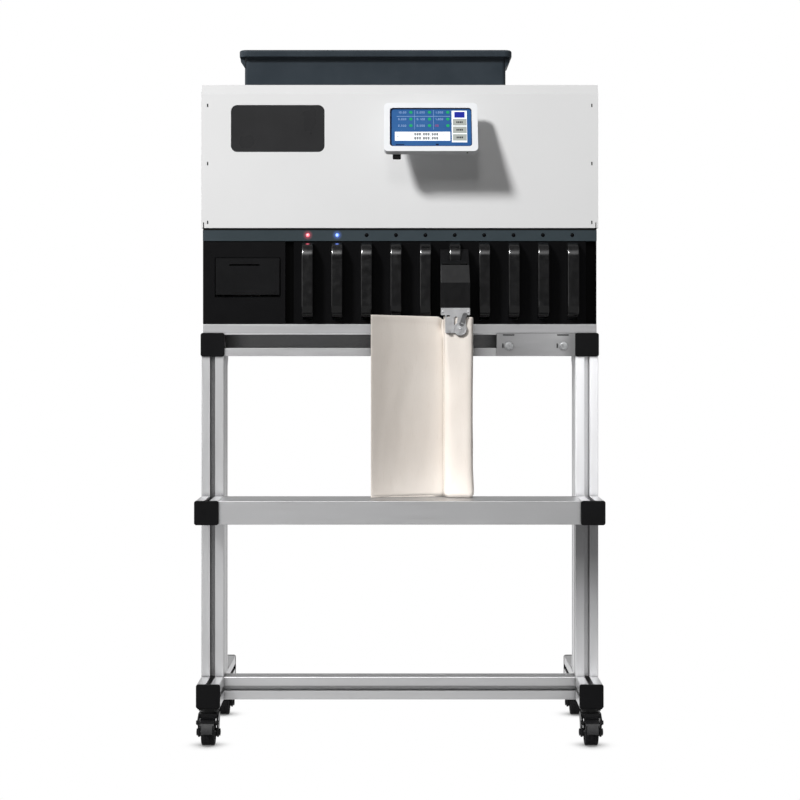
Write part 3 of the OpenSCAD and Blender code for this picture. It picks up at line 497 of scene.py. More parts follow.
def paper():
    paint = Paint("receipt_paper", 0.8, 0.0, Specular_IOR_Level=0.2)
    paint.tones(srgb(236, 235, 230), srgb(246, 245, 241), 30).rough(0.7, 0.85, 300)
    rings = paint.math("SINE", paint.math("MULTIPLY", paint.noise(14, 0), 900))
    return paint.relief(rings, 0.02).material


def outlet_paint():
    """Flat black of the outlet panel, with painted shade that makes the strips set back beside it nearly
    lightless.
    """
    paint = Paint("outlet_panel_paint", 0.5, 0.0, Specular_IOR_Level=0.02)
    paint.tones(grey(9), grey(12), 8).dim(paint.span(paint.axis("Y"), -0.087, -0.080, 1.0, 0.0))
    return paint.grain(420, 0.02).material


def smoked_pane():
    paint = Paint("smoked_window", 0.3, 0.0, Specular_IOR_Level=0.12)
    paint.tones(grey(40), grey(45), 6).rough(0.26, 0.34, 20)
    return paint.grain(300, 0.004).material


DARK = (0, 0, 0, 1)
PAINTED_HALO = ((0.30, 0.03, 0.05, 1), (0.05, 0.10, 0.34, 1))       # painted glow of the lit lamps on the lamp bar
PAINTED_GLEAM = ((0.75, 0.10, 0.16, 1), (0.16, 0.26, 0.85, 1))      # and their painted reflection on the spouts, as emission
SPOUT_FINISH = (grey(7), grey(10), 0.19, 0.2, 1800, 0.003, 0.0)
lamps_low, lamps_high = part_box("lamps")
LAMPS = 10
LAMP_R = (lamps_high.z - lamps_low.z) / 2
LAMP_PITCH = (lamps_high.x - lamps_low.x - 2 * LAMP_R) / (LAMPS - 1)
LAMP_Z = (lamps_low.z + lamps_high.z) / 2
LAMP_AT = [Vector((lamps_low.x + LAMP_R + i * LAMP_PITCH, lamps_low.y, LAMP_Z)) for i in range(LAMPS)]

# Reach and darkest give how far into slots and recesses the painted shade goes and how dark it gets; the front
# rail's recess is painted almost black.
ALUMINIUM = {
    "x": crosswise_aluminium("aluminium_x", 14, 0.1).material,
    "y": aluminium("aluminium_y", "y").material,
    "z": aluminium("aluminium_z", "z").material,
}
OWN_PAINT = {
    "adjuster_plate": adjuster_paint().material,
    "upright_left": aluminium("aluminium_left", "z", reach=18, darkest=0.05).material,
    "bag_shelf": crosswise_aluminium("aluminium_shelf", 14, 0.1, 169).material,
    "upright_right": upright_painted_light().material,
    "outlet_panel": outlet_paint(),
    "front_top_rail": crosswise_aluminium("aluminium_rail", 50, 0.04, 166).material,
    "deck_plate": crosswise_aluminium("aluminium_deck", 6, 0.4, 160).material,
}
PAINTS = {
    "lamp_bar_paint": lamp_bar_paint(),
    "cover_paint": cover_paint(),
    "smoked_window": smoked_pane(),
    "circuit_board": circuit_board(),
    "receipt_paper": paper(),
    "bag_fabric": bag_cloth(),
}
# Slot: how it is made, its darker and lighter tone, and its roughness and the rest
FINISHES = {
    "cap_plastic": (moulded, grey(9), grey(14), 0.5, 0.06),
    "cast_bracket": (bare_metal, srgb(150, 150, 152), srgb(172, 172, 174), 0.5, 350, 0.12),
    "bolt_steel": (bare_metal, srgb(150, 151, 152), srgb(172, 173, 174), 0.3, 700, 0.015, 0.9),
    "castor_metal": (powder_coat, grey(11), grey(18), 0.38, 0.16),
    "castor_tyre": (rubber, grey(15), grey(22)),
    "pedal_plastic": (moulded, grey(17), grey(24), 0.42, 0.2),
    "black_sheet": (powder_coat, grey(9), grey(14), 0.45, 0.04),
    "spout_plastic": (moulded, *SPOUT_FINISH),
    "lamp_lens": (moulded, grey(2), grey(4), 0.4, 0.03),
    "clip_plastic": (moulded, grey(17), grey(23), 0.45, 0.15),
    "switch_plastic": (moulded, grey(8), grey(12), 0.35, 0.1),
    "hopper_plastic": (moulded, srgb(40, 47, 53), srgb(47, 54, 60), 0.42, 0.1),
    "plated_steel": (bare_metal, grey(140), grey(156), 0.42, 700, 0.015, 0.75),
    "motor_case": (powder_coat, srgb(50, 51, 54), srgb(62, 63, 66), 0.5),
    "belt_rubber": (rubber, grey(18), grey(27)),
    "duct_plastic": (moulded, srgb(78, 81, 85), srgb(88, 91, 95), 0.5),
    "supply_case": (bare_metal, srgb(150, 152, 154), srgb(176, 178, 180), 0.45),
    "printer_plastic": (moulded, grey(11), grey(16), 0.48, 0.06),
    "platen_rubber": (rubber, grey(14), grey(21)),
    "display_plastic": (moulded, srgb(226, 228, 230), srgb(232, 233, 235), 0.36, 0.1),
    "display_glass": (moulded, srgb(30, 70, 130), srgb(36, 80, 142), 0.3, 0.1),
    "chute_plastic": (moulded, grey(5), grey(9), 0.4, 0.1),
}
for slot, (make, *finish) in FINISHES.items():
    PAINTS[slot] = make(slot, *finish)
LEAF_STEEL = bare_metal("leaf_steel", grey(84), grey(104), 0.4, 700, 0.015, 0.75)
# Near black, to give the gap between the lamp bar and the cover its shadow line.
SEAL_SHADOW_RUBBER = rubber("seal_rubber_shadow_black", grey(5), grey(9))


# ---------------------------------------------------------------- carried-over CAD nodes

# Which way the die lines of the aluminium run
AXIS_OF = {
    "foot_beams": "y", "shelf_arms": "y", "top_beams": "y", "upright_left": "z", "upright_right": "z",
    "lower_cross_rail": "x", "front_top_rail": "x", "rear_top_rail": "x", "bag_shelf": "x",
    "deck_plate": "x", "adjuster_plate": "x",
}
# Radius of the rounded edges in millimetres, where it isn't EDGE; 0 leaves them sharp
EDGE = 0.3
EDGES = {
    "end_caps": 1.2, "bag_shelf": 1.0, "deck_plate": 0.8, "front_top_rail": 0.5, "adjuster_plate": 0,
    "hopper_bin": 1.2, "display_housing": 2.0, "front_cover": 0.9, "printer_door": 0.5,
    "lamp_bar": 0.4, "corner_brackets": 0.8, "display_bracket": 0.8, "printer_panel": 0.4,
    "brake_pedal_left": 1.2, "brake_pedal_right": 1.2, "power_inlet": 0.6, "power_switch": 0.5,
}
KEEPS_TRIANGLES = ("outlet_panel", "adjuster_plate")    # they don't dissolve cleanly round their holes


def soften(node, radius):
    """Rounds a CAD node's edges without touching its mesh: modifiers only."""
    o = NODES[node]
    weld = o.modifiers.new("weld", "WELD")
    weld.merge_threshold = 2e-6
    if node not in KEEPS_TRIANGLES:
        flat = o.modifiers.new("flat", "DECIMATE")
        flat.decimate_type = "DISSOLVE"
        flat.angle_limit = math.radians(0.3)
    if radius == 0:
        return
    bevel = o.modifiers.new("bevel", "BEVEL")
    bevel.width = radius * MM
    bevel.segments = 2 if radius < 0.8 else 3
    bevel.limit_method = "ANGLE"
    bevel.angle_limit = math.radians(33)
    bevel.miter_outer = "MITER_ARC"
    normals = o.modifiers.new("normals", "WEIGHTED_NORMAL")
    normals.weight = 60
    normals.keep_sharp = False


def dress(node):
    """Gives a CAD node its material and its rounded edges."""
    o = NODES[node]
    slot = SLOT_OF[node]
    o.data.materials.clear()
    shared = ALUMINIUM[AXIS_OF[node]] if slot == "aluminium" else PAINTS[slot]
    o.data.materials.append(OWN_PAINT.get(node, shared))
    soften(node, EDGES.get(node, EDGE))


for name in NODES:
    dress(name)

# ---------------------------------------------------------------- making pieces


def arc(centre, radius, start, end, steps=8):
    """Points of a circular arc in a plane, angles in degrees."""
    turn = [math.radians(start + (end - start) * i / steps) for i in range(steps + 1)]
    return [(centre[0] + radius * math.cos(a), centre[1] + radius * math.sin(a)) for a in turn]


def rounded(width, height, radius, centre=(0, 0), steps=6):
    """Outline of a rectangle with round corners."""
    points = []
    for sx, sy, start in ((1, 1, 0), (-1, 1, 90), (-1, -1, 180), (1, -1, 270)):
        corner = (centre[0] + sx * (width / 2 - radius), centre[1] + sy * (height / 2 - radius))
        points += arc(corner, radius, start, start + 90, steps)
    return points


def box_outline(low, high):
    return [(low[0], low[1]), (high[0], low[1]), (high[0], high[1]), (low[0], high[1])]


def along_x(u, v, w):
    return mm(w, u, v)


def along_y(u, v, w):
    return mm(u, w, v)


def along_z(u, v, w):
    return mm(u, v, w)


def paint_faces(faces, index):
    """Gives faces the piece's material of that index."""
    for face in faces:
        face.material_index = index


def prism(bm, outline, start, end, to_point, index=0):
    """Adds a closed prism; to_point(u, v, w) turns its millimetres into a point of the scene."""
    near = [bm.verts.new(to_point(u, v, start)) for u, v in outline]
    far = [bm.verts.new(to_point(u, v, end)) for u, v in outline]
    faces = [bm.faces.new(near), bm.faces.new(far[::-1])]
    for i in range(len(outline)):
        j = (i + 1) % len(outline)
        faces.append(bm.faces.new((near[j], near[i], far[i], far[j])))
    paint_faces(faces, index)
    bmesh.ops.recalc_face_normals(bm, faces=faces)


def prism_mesh(outline, start, end, to_point):
    bm = bmesh.new()
    prism(bm, outline, start, end, to_point)
    return bm


def lathe(bm, profile, origin, axis, steps=32, closed=False):
    """Adds a surface of revolution of (radius, offset along the axis) pairs and returns its faces.

    A closed profile is the section of a ring.
    """
    axis = Vector(axis).normalized()
    side = axis.orthogonal().normalized()
    up = axis.cross(side)
    rings = []
    for radius, offset in profile:
        centre = Vector(origin) + axis * offset * MM
        turns = [0] if radius < 1e-6 else [2 * math.pi * i / steps for i in range(steps)]
        points = [centre + (side * math.cos(a) + up * math.sin(a)) * radius * MM for a in turns]
        rings.append([bm.verts.new(point) for point in points])
    faces = []
    for k in range(len(rings) if closed else len(rings) - 1):
        first, second = rings[k], rings[(k + 1) % len(rings)]
        for i in range(steps):
            j = (i + 1) % steps
            around = ((first, i), (first, j), (second, j), (second, i))
            corners = [ring[n % len(ring)] for ring, n in around]
            faces.append(bm.faces.new(list(dict.fromkeys(corners))))
    bmesh.ops.recalc_face_normals(bm, faces=faces)
    return faces


def round_edges(bm, radius, segments=3, pick=None):
    """Rounds the sharp edges, or those of them that pick(edge) accepts."""
    bm.normal_update()
    sharp = math.radians(28)
    edges = [e for e in bm.edges if len(e.link_faces) == 2 and e.calc_face_angle(0) > sharp]
    if pick:
        edges = [e for e in edges if pick(e)]
    bmesh.ops.bevel(bm, geom=edges, offset=radius * MM, segments=segments, profile=0.5, affect="EDGES")
    return bm


def cut(bm, *tools):
    """The solid bm with the solid tools taken out of it."""
    for tool in tools:
        solids = []
        for name, source in (("work", bm), ("tool", tool)):
            mesh = bpy.data.meshes.new(name)
            source.to_mesh(mesh)
            source.free()
            solids.append(bpy.data.objects.new(name, mesh))
            bpy.context.scene.collection.objects.link(solids[-1])
        modifier = solids[0].modifiers.new("cut", "BOOLEAN")
        modifier.object = solids[1]
        modifier.solver = "EXACT"
        graph = bpy.context.evaluated_depsgraph_get()
        result = bpy.data.meshes.new_from_object(solids[0].evaluated_get(graph))
        bm = bmesh.new()
        bm.from_mesh(result)
        bpy.data.meshes.remove(result)
        for solid in solids:
            mesh = solid.data
            bpy.data.objects.remove(solid)
            bpy.data.meshes.remove(mesh)
    return bm


def merge(bm, *others):
    """bm with the other meshes added to it."""
    for other in others:
        mesh = bpy.data.meshes.new("part")
        other.to_mesh(mesh)
        other.free()
        bm.from_mesh(mesh)
        bpy.data.meshes.remove(mesh)
    return bm


def place(name, bm, slot, body, replaced=(), materials=None, sharp=34, soft=False):
    """Turns a mesh into a named piece that rides on a body.

    Edges bent more than sharp degrees stay sharp. Soft pieces keep their smooth normals.
    """
    mesh = bpy.data.meshes.new(name)
    bm.to_mesh(mesh)
    bm.free()
    for material in materials or [PAINTS[slot]]:
        mesh.materials.append(material)
    mesh.polygons.foreach_set("use_smooth", [True] * len(mesh.polygons))
    mesh.set_sharp_from_angle(angle=math.radians(sharp))
    piece = bpy.data.objects.new(name, mesh)
    bpy.context.scene.collection.objects.link(piece)
    if not soft:
        normals = piece.modifiers.new("normals", "WEIGHTED_NORMAL")
        normals.weight = 60
        normals.keep_sharp = True
    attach(piece, body)
    if replaced:
        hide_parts(*replaced)
    return piece


FRONT = (0, -1, 0)
BACK = (0, 1, 0)


def skin(bm, rows, closed=False):
    """Faces between rows of equally many vertices, the last row joined to the first if closed."""
    for k in range(len(rows) if closed else len(rows) - 1):
        first, second = rows[k], rows[(k + 1) % len(rows)]
        for i in range(len(first)):
            j = (i + 1) % len(first)
            bm.faces.new((first[i], first[j], second[j], second[i]))


def joint_at(name):
    return Vector(next(j["pos_m"] for j in frame["joints"] if j["name"] == name))


def millimetres(node):
    """Lowest and highest corner of a CAD node, in millimetres."""
    low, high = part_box(node)
    return low / MM, high / MM


# ---------------------------------------------------------------- outlet spouts and lamps

SPOUT_W = 22.5
SPOUT_R = 24.0                              # of the bend at the lower end
SPOUT_TOP_R = 28.5
SPOUT_EDGE = 3.0
SPOUT_WALL = 2.5
DUCT_HALF = 8.5


def bow(low, high, inset=0.0):
    """Side view of a spout, (y, z) in millimetres: flat front with long round ends."""
    back = high.y + (1 if inset else 0)
    lower_end = arc((low.y + SPOUT_R, low.z + SPOUT_R), SPOUT_R - inset, 270, 180, 12)
    upper_end = arc((low.y + SPOUT_TOP_R, high.z - SPOUT_TOP_R), SPOUT_TOP_R - inset, 180, 90, 12)
    return [(back, low.z + inset)] + lower_end + upper_end + [(back, high.z - inset)]


def spout_paint(i):
    """Glossy black, with a painted reflection of the lamp above it glowing on the first two spouts."""
    if i >= len(PAINTED_GLEAM):
        return PAINTS["spout_plastic"]
    paint = moulded_paint(f"spout_plastic_{i + 1}", *SPOUT_FINISH)
    low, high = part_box("outlet_spouts")
    # The painted reflection glows on the top bend, under the lamp.
    point = (LAMP_AT[i].x, low.y + 14 * MM, high.z - 2.2 * MM)
    paint.set("Emission Strength", 1.0)
    return paint.glow(paint.blend(paint.ring(point, 0.0052, 0.0008), DARK, PAINTED_GLEAM[i])).material


def make_spouts():
    """Ten hollow spouts with rounded sides, open at the back and underneath."""
    low, high = millimetres("outlet_spouts")
    half = SPOUT_W / 2
    pitch = (high.x - low.x - SPOUT_W) / (LAMPS - 1)
    for i in range(LAMPS):
        x = low.x + half + i * pitch

        def on_side(e):
            offsets = [abs(abs(v.co.x - x * MM) - half * MM) for v in e.verts]
            return max(offsets) < 1e-6 and min(v.co.y for v in e.verts) < (high.y - 1) * MM

        bm = round_edges(prism_mesh(bow(low, high), x - half, x + half, along_x), SPOUT_EDGE, 4, on_side)
        duct = prism_mesh(bow(low, high, SPOUT_WALL), x - DUCT_HALF, x + DUCT_HALF, along_x)
        mouth = box_outline((low.y + 14, low.z - 1), (high.y + 1, low.z + 20))
        bm = cut(bm, duct, prism_mesh(mouth, x - DUCT_HALF + 0.01, x + DUCT_HALF - 0.01, along_x))
        name = f"outlet_spout_{i + 1}"
        spout = place(name, bm, "spout_plastic", "cart", ["outlet_spouts"], [spout_paint(i)])
        glint.light_linking.receiver_collection.objects.link(spout)


LENS_R = 3.7


def make_lamps():
    """Domed lenses in the lamp bar: the first red, the second blue, the others dark."""
    lit = {
        0: lit_lens("lamp_red", LAMP_AT[0], (1.0, 0.62, 0.66, 1), (0.80, 0.04, 0.08, 1)),
        1: lit_lens("lamp_blue", LAMP_AT[1], (0.62, 0.78, 1.0, 1), (0.04, 0.16, 0.80, 1)),
    }
    profile = [(0, 1.0), (1.2, 0.92), (2.3, 0.62), (3.2, 0.1), (LENS_R, -0.5), (LENS_R, -3), (4.8, -3),
               (4.8, -9), (0, -9)]
    for i, centre in enumerate(LAMP_AT):
        bm = bmesh.new()
        lathe(bm, profile, centre, FRONT)
        material = lit.get(i, PAINTS["lamp_lens"])
        place(f"lamp_{i + 1}", bm, "lamp_lens", "cart", ["lamps"], [material], 50)


# ---------------------------------------------------------------- castor wheels and guards

WHEEL_R = 25.0
TYRE_HALF = 13.0
RIM_R = 17.7                                # inside it the wheel is hub and web, not tyre
HUB_HALF = 16.1
BORE_R = 4.05
WEB_RIBS = 6
GUARD_OUT = 29.4
GUARD_IN = 26.6
GUARD_HALF = 14.5
GUARD_ENDS = (62, 118)                      # degrees round the wheel, 90 being its top


def wheel_section():
    """(radius, offset) of the whole section: hub, dished web, rim and a tyre with two grooves."""
    shoulder = [(WHEEL_R - 3 + dr, TYRE_HALF - 3 + dw) for dr, dw in
                ((0.4, 3.0), (1.6, 2.6), (2.6, 1.6), (3.0, 0.3))]
    groove = [(WHEEL_R, 5.0), (WHEEL_R - 0.7, 4.6), (WHEEL_R - 0.7, 4.0), (WHEEL_R, 3.6)]
    hub = [(BORE_R, HUB_HALF), (7.4, HUB_HALF), (8.2, HUB_HALF - 0.8), (8.8, 9.6), (9.6, 8.6)]
    web = [(15.2, 8.0), (16.2, 8.8), (16.8, 12.2), (17.6, 12.6), (18.0, TYRE_HALF)]
    side = hub + web + shoulder + groove
    return side + [(radius, -offset) for radius, offset in reversed(side)]


def make_wheels():
    """Wheels with ribs on both sides of the web."""
    for name in ("front_left", "front_right", "rear_left", "rear_right"):
        low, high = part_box("caster_wheel_" + name)
        centre = (low + high) / 2
        bm = bmesh.new()
        faces = lathe(bm, wheel_section(), centre, (1, 0, 0), 64, closed=True)
        middles = [face.calc_center_median() - centre for face in faces]
        inner = [f for f, middle in zip(faces, middles) if middle.yz.length < RIM_R * MM]
        paint_faces(inner, 1)
        for side in (1, -1):
            for k in range(WEB_RIBS):
                turn = Matrix.Rotation(2 * math.pi * k / WEB_RIBS, 4, "X")
                rib = prism_mesh(box_outline((-0.9, 8.6), (0.9, 16.6)), side * 7.8, side * 11.2, along_x)
                round_edges(rib, 0.4, 2)
                bmesh.ops.transform(rib, matrix=Matrix.Translation(centre) @ turn, verts=rib.verts)
                paint_faces(rib.faces, 1)
                merge(bm, rib)
        place("wheel_" + name, bm, "castor_tyre", "wheel_" + name, ["caster_wheel_" + name],
              [PAINTS["castor_tyre"], PAINTS["castor_metal"]])


def make_guards():
    """Curved thread guard under each fork's crown, just clear of the tyre."""
    start, end = GUARD_ENDS
    for corner in ("front_left", "rear_left", "front_right", "rear_right"):
        low, high = millimetres("caster_wheel_" + corner)
        middle = (low + high) / 2
        centre = (middle.y, middle.z)
        outline = arc(centre, GUARD_OUT, start, end, 12) + arc(centre, GUARD_IN, end, start, 12)
        bm = prism_mesh(outline, middle.x - GUARD_HALF, middle.x + GUARD_HALF, along_x)
        round_edges(bm, 0.5, 2, lambda e: abs(e.verts[0].co.x - e.verts[1].co.x) < 1e-6)
        place("castor_guard_" + corner, bm, "castor_metal", "caster_" + corner)


# ---------------------------------------------------------------- seal strip and hopper

SEAL_H = 4.5                                # gap between the lamp bar and the cover
SEAL_BACK = 2.95                            # from the front of the lamp bar
SEAL_END = 2.4                              # from the ends of the lamp bar
SEAL_RIBS = 4


def make_seal():
    """Near-black rubber strip with four ribs, set back in the gap between the lamp bar and the cover: a dark strip
    that gives the gap its shadow line.
    """
    bar_low, bar_high = millimetres("lamp_bar")
    bottom = millimetres("front_cover")[0].z - SEAL_H
    back = bar_low.y + SEAL_BACK
    rib = SEAL_H / SEAL_RIBS / 2
    section = [(back, bottom)]
    for k in range(SEAL_RIBS):
        section += arc((back - 0.5, bottom + (2 * k + 1) * rib), rib * 0.98, 270, 90, 6)
    section += [(back, bottom + SEAL_H)]
    bm = prism_mesh(section, bar_low.x + SEAL_END, bar_high.x - SEAL_END, along_x)
    place("seal_strip", bm, "belt_rubber", "cart", (), [SEAL_SHADOW_RUBBER])


RIM_H = 14.0                                # height of the hopper's rim
RIM_OUT = 12.0                              # how far it stands out at the ends
RIM_DEEP = 13.0                             # and at the front and the back
RIM_R = 16.0                                # of its corners in plan
RIM_ROUND = 4.0                             # of its upper edge
LIP_ROUND = 2.0                             # of the edge round the opening
FUNNEL_H = 87.0                             # from the rim's top down to where the funnel starts
HOPPER_WALL = 2.5


def make_hopper():
    """Thin-walled hopper: a tapering funnel, a box with round corners and a wide rounded rim."""
    low, high = millimetres("hopper_bin")
    body = (low.x + RIM_OUT - 2, high.x - RIM_OUT, low.y + RIM_DEEP, high.y - RIM_DEEP)
    throat = (body[0] + 10.6, body[0] + 150.6, body[2] + 25, body[3] - 45)
    shoulder = high.z - FUNNEL_H

    def level(box, inset, radius, z):
        x0, x1, y0, y1 = box
        centre = ((x0 + x1) / 2, (y0 + y1) / 2)
        outline = rounded(x1 - x0 - 2 * inset, y1 - y0 - 2 * inset, radius, centre, 8)
        return [mm(u, v, z) for u, v in outline]

    rim = (low.x, high.x, low.y, high.y)
    under = high.z - RIM_H
    loops = [level(throat, 0, 6, low.z), level(body, 0, 9, shoulder), level(body, 0, 9, under - 2),
             level(body, -1.5, 9, under)]
    for inset, rise in ((1.2, 0), (0.3, 0.4), (0, 1.5)):
        loops.append(level(rim, inset, RIM_R - inset, under + rise))
    for out, rise in arc((0, 0), RIM_ROUND, 0, 90, 6):
        inset = RIM_ROUND - out
        loops.append(level(rim, inset, RIM_R - inset, high.z - RIM_ROUND + rise))
    for back, rise in arc((0, 0), LIP_ROUND, 90, 0, 4):
        loops.append(level(body, HOPPER_WALL - back, 7, high.z - LIP_ROUND + rise))
    loops.append(level(body, HOPPER_WALL, 6.5, shoulder + 1))
    loops.append(level(throat, HOPPER_WALL, 4, low.z))
    bm = bmesh.new()
    skin(bm, [[bm.verts.new(point) for point in loop] for loop in loops], closed=True)
    bmesh.ops.recalc_face_normals(bm, faces=bm.faces)
    for side, edge in ((-1, body[0]), (1, body[1])):
        for y in (body[2] + 1, body[3] - 4):
            gusset = [(edge - side, under + 0.5), (edge + side * 9, under + 0.5),
                      (edge + side * 7.4, under - 9), (edge - side, under - 22)]
            merge(bm, round_edges(prism_mesh(gusset, y, y + 3, along_y), 0.4, 2))
    place("hopper_shell", bm, "hopper_plastic", "cart", ["hopper_bin"])


# ---------------------------------------------------------------- screws


def cap_screw(bm, point, axis, radius, height, key):
    """Socket head with a chamfered rim and a hexagonal recess, key millimetres across flats."""
    axis = Vector(axis).normalized()
    point = Vector(point)
    side = axis.orthogonal().normalized()
    up = axis.cross(side)
    steps = 24

    def ring(reach, offset):
        made = []
        for i in range(steps):
            a = 2 * math.pi * i / steps
            r = reach(a) if callable(reach) else reach
            spoke = (side * math.cos(a) + up * math.sin(a)) * r
            made.append(bm.verts.new(point + (axis * offset + spoke) * MM))
        return made

    def hexagon(a):
        return key / 2 / math.cos((a + math.pi / 6) % (math.pi / 3) - math.pi / 6)

    levels = ((radius, 0), (radius, height - 0.6), (radius - 0.25, height - 0.2), (radius - 0.7, height),
              (hexagon, height), (hexagon, height * 0.4))
    rings = [ring(*level) for level in levels]
    skin(bm, rings)
    bm.faces.new(rings[-1])
    bm.faces.new(rings[0][::-1])


BOLT_X = (24, 131)                          # the adjuster plate's bolts, from its left end
BOLT_Z = 770.0                              # and their height
BOLT = (6.4, 4.0, 5)                        # radius and height of the head, key
BRACKET_SCREW = (7, 5, 6)
CASING_SCREW = (3.4, 1.8, 2.5)
WASHER = ((0, 0), (8.6, 0), (8.6, 1.0), (8.1, 1.5), (0, 1.5))


def make_screws():
    """Screws of the brackets and the adjuster plate, and small ones round the casing."""
    plate = millimetres("adjuster_plate")[0]
    bm = bmesh.new()
    for reach in BOLT_X:
        lathe(bm, WASHER, mm(plate.x + reach, plate.y, BOLT_Z), FRONT)
        cap_screw(bm, mm(plate.x + reach, plate.y - 1.4, BOLT_Z), FRONT, *BOLT)
    beam_low, beam_high = millimetres("upright_left")
    for s in (-1, 1):
        x = s * (abs(beam_low.x) + abs(beam_high.x)) / 2
        for z, way in ((beam_low.z + 5, 1), (beam_high.z - 5, -1)):
            cap_screw(bm, mm(x, beam_high.y + 25, z), (0, 0, way), *BRACKET_SCREW)
            cap_screw(bm, mm(x, beam_high.y + 5, z + way * 20), BACK, *BRACKET_SCREW)
    place("frame_screws", bm, "bolt_steel", "cart", ["frame_bolts"])

    back_low, back_high = millimetres("rear_cover")
    side_low, side_high = millimetres("side_panels")
    bm = bmesh.new()
    for x in (back_low.x + 8, 0, back_high.x - 8):
        for z in (back_low.z + 10, back_low.z + 175, back_high.z - 10):
            cap_screw(bm, mm(x, back_high.y, z), BACK, *CASING_SCREW)
    for s in (-1, 1):
        for y in (side_low.y + 25, 70, side_high.y - 25):
            for z in (side_low.z + 12, side_high.z - 12):
                cap_screw(bm, mm(s * side_high.x, y, z), (s, 0, 0), *CASING_SCREW)
    place("casing_screws", bm, "bolt_steel", "cart")


# ---------------------------------------------------------------- display

DISPLAY_TILT = -28.0
FACE = -34.0                                # front of the bezel, from the pivot
SCREEN_W = 154.0                            # page as it is drawn
SCREEN_H = 86.0
OPENING_W = 159.0                           # opening in the bezel, which the page fills
OPENING_H = 89.0
SEGMENTS = {"0": "abcdef", "1": "bc", "2": "abged", "3": "abgcd", "4": "fgbc", "5": "afgcd",
            "6": "afgedc", "7": "abc", "8": "abcdefg", "9": "abcdfg"}
FIGURES = (("10.00", "5.200", "1.000"), ("8.050", "0.120", "7.800"), ("2.500", "0.500", "20"))


def display_place():
    """From the display's own millimetre frame, with the pivot as its origin, to the scene."""
    turn = Matrix.Rotation(math.radians(DISPLAY_TILT), 4, "X")
    return Matrix.Translation(joint_at("display_tilt")) @ turn


def tile(bm, low, high, lift, index, thick=0.25):
    """Thin flat tile on the screen, lift millimetres in front of its face."""
    start = FACE + 1 - lift
    prism(bm, box_outline(low, high), start - thick, start, along_y, index)


def digits(bm, text, u, v, height, index, lift, bold=0.13):
    """Row of seven-segment figures that starts at (u, v)."""
    width = height * 0.56
    t = height * bold
    half = height / 2
    right = width - t
    bars = {"a": (0, height - t, width, height), "g": (0, half - t / 2, width, half + t / 2),
            "d": (0, 0, width, t), "f": (0, half, t, height), "b": (right, half, width, height),
            "e": (0, 0, t, half), "c": (right, 0, width, half)}
    for mark in text:
        if mark in ".,":
            tile(bm, (u, v), (u + t * 1.3, v + t * 1.3), lift, index, 0.1)
            u += t * 2.6
            continue
        for letter in SEGMENTS.get(mark, ""):
            u0, v0, u1, v1 = bars[letter]
            tile(bm, (u + u0, v + v0), (u + u1, v + v1), lift, index, 0.1)
        u += width + height * 0.2


def screen_paint(name, colour, strength=0.0, dark=None):
    """Dim glass that glows a little in its own colour."""
    paint = Paint(name, 0.3, 0.0, Specular_IOR_Level=0.08)
    paint.tones(dark or colour, colour, 12).rough(0.25, 0.36, 60)
    if strength:
        paint.set("Emission Strength", strength)
        paint.glow(paint.blend(paint.span(paint.noise(8, 3), 0.3, 0.7), dark or colour, colour))
    return paint.material


PLUG = (15.2, 10, 1.5, (-66, -15.4))        # width, depth, corner radius and middle of the plug
PLUG_GRIP = (15.9, 10.7, 1.5, (-66, -15.4))


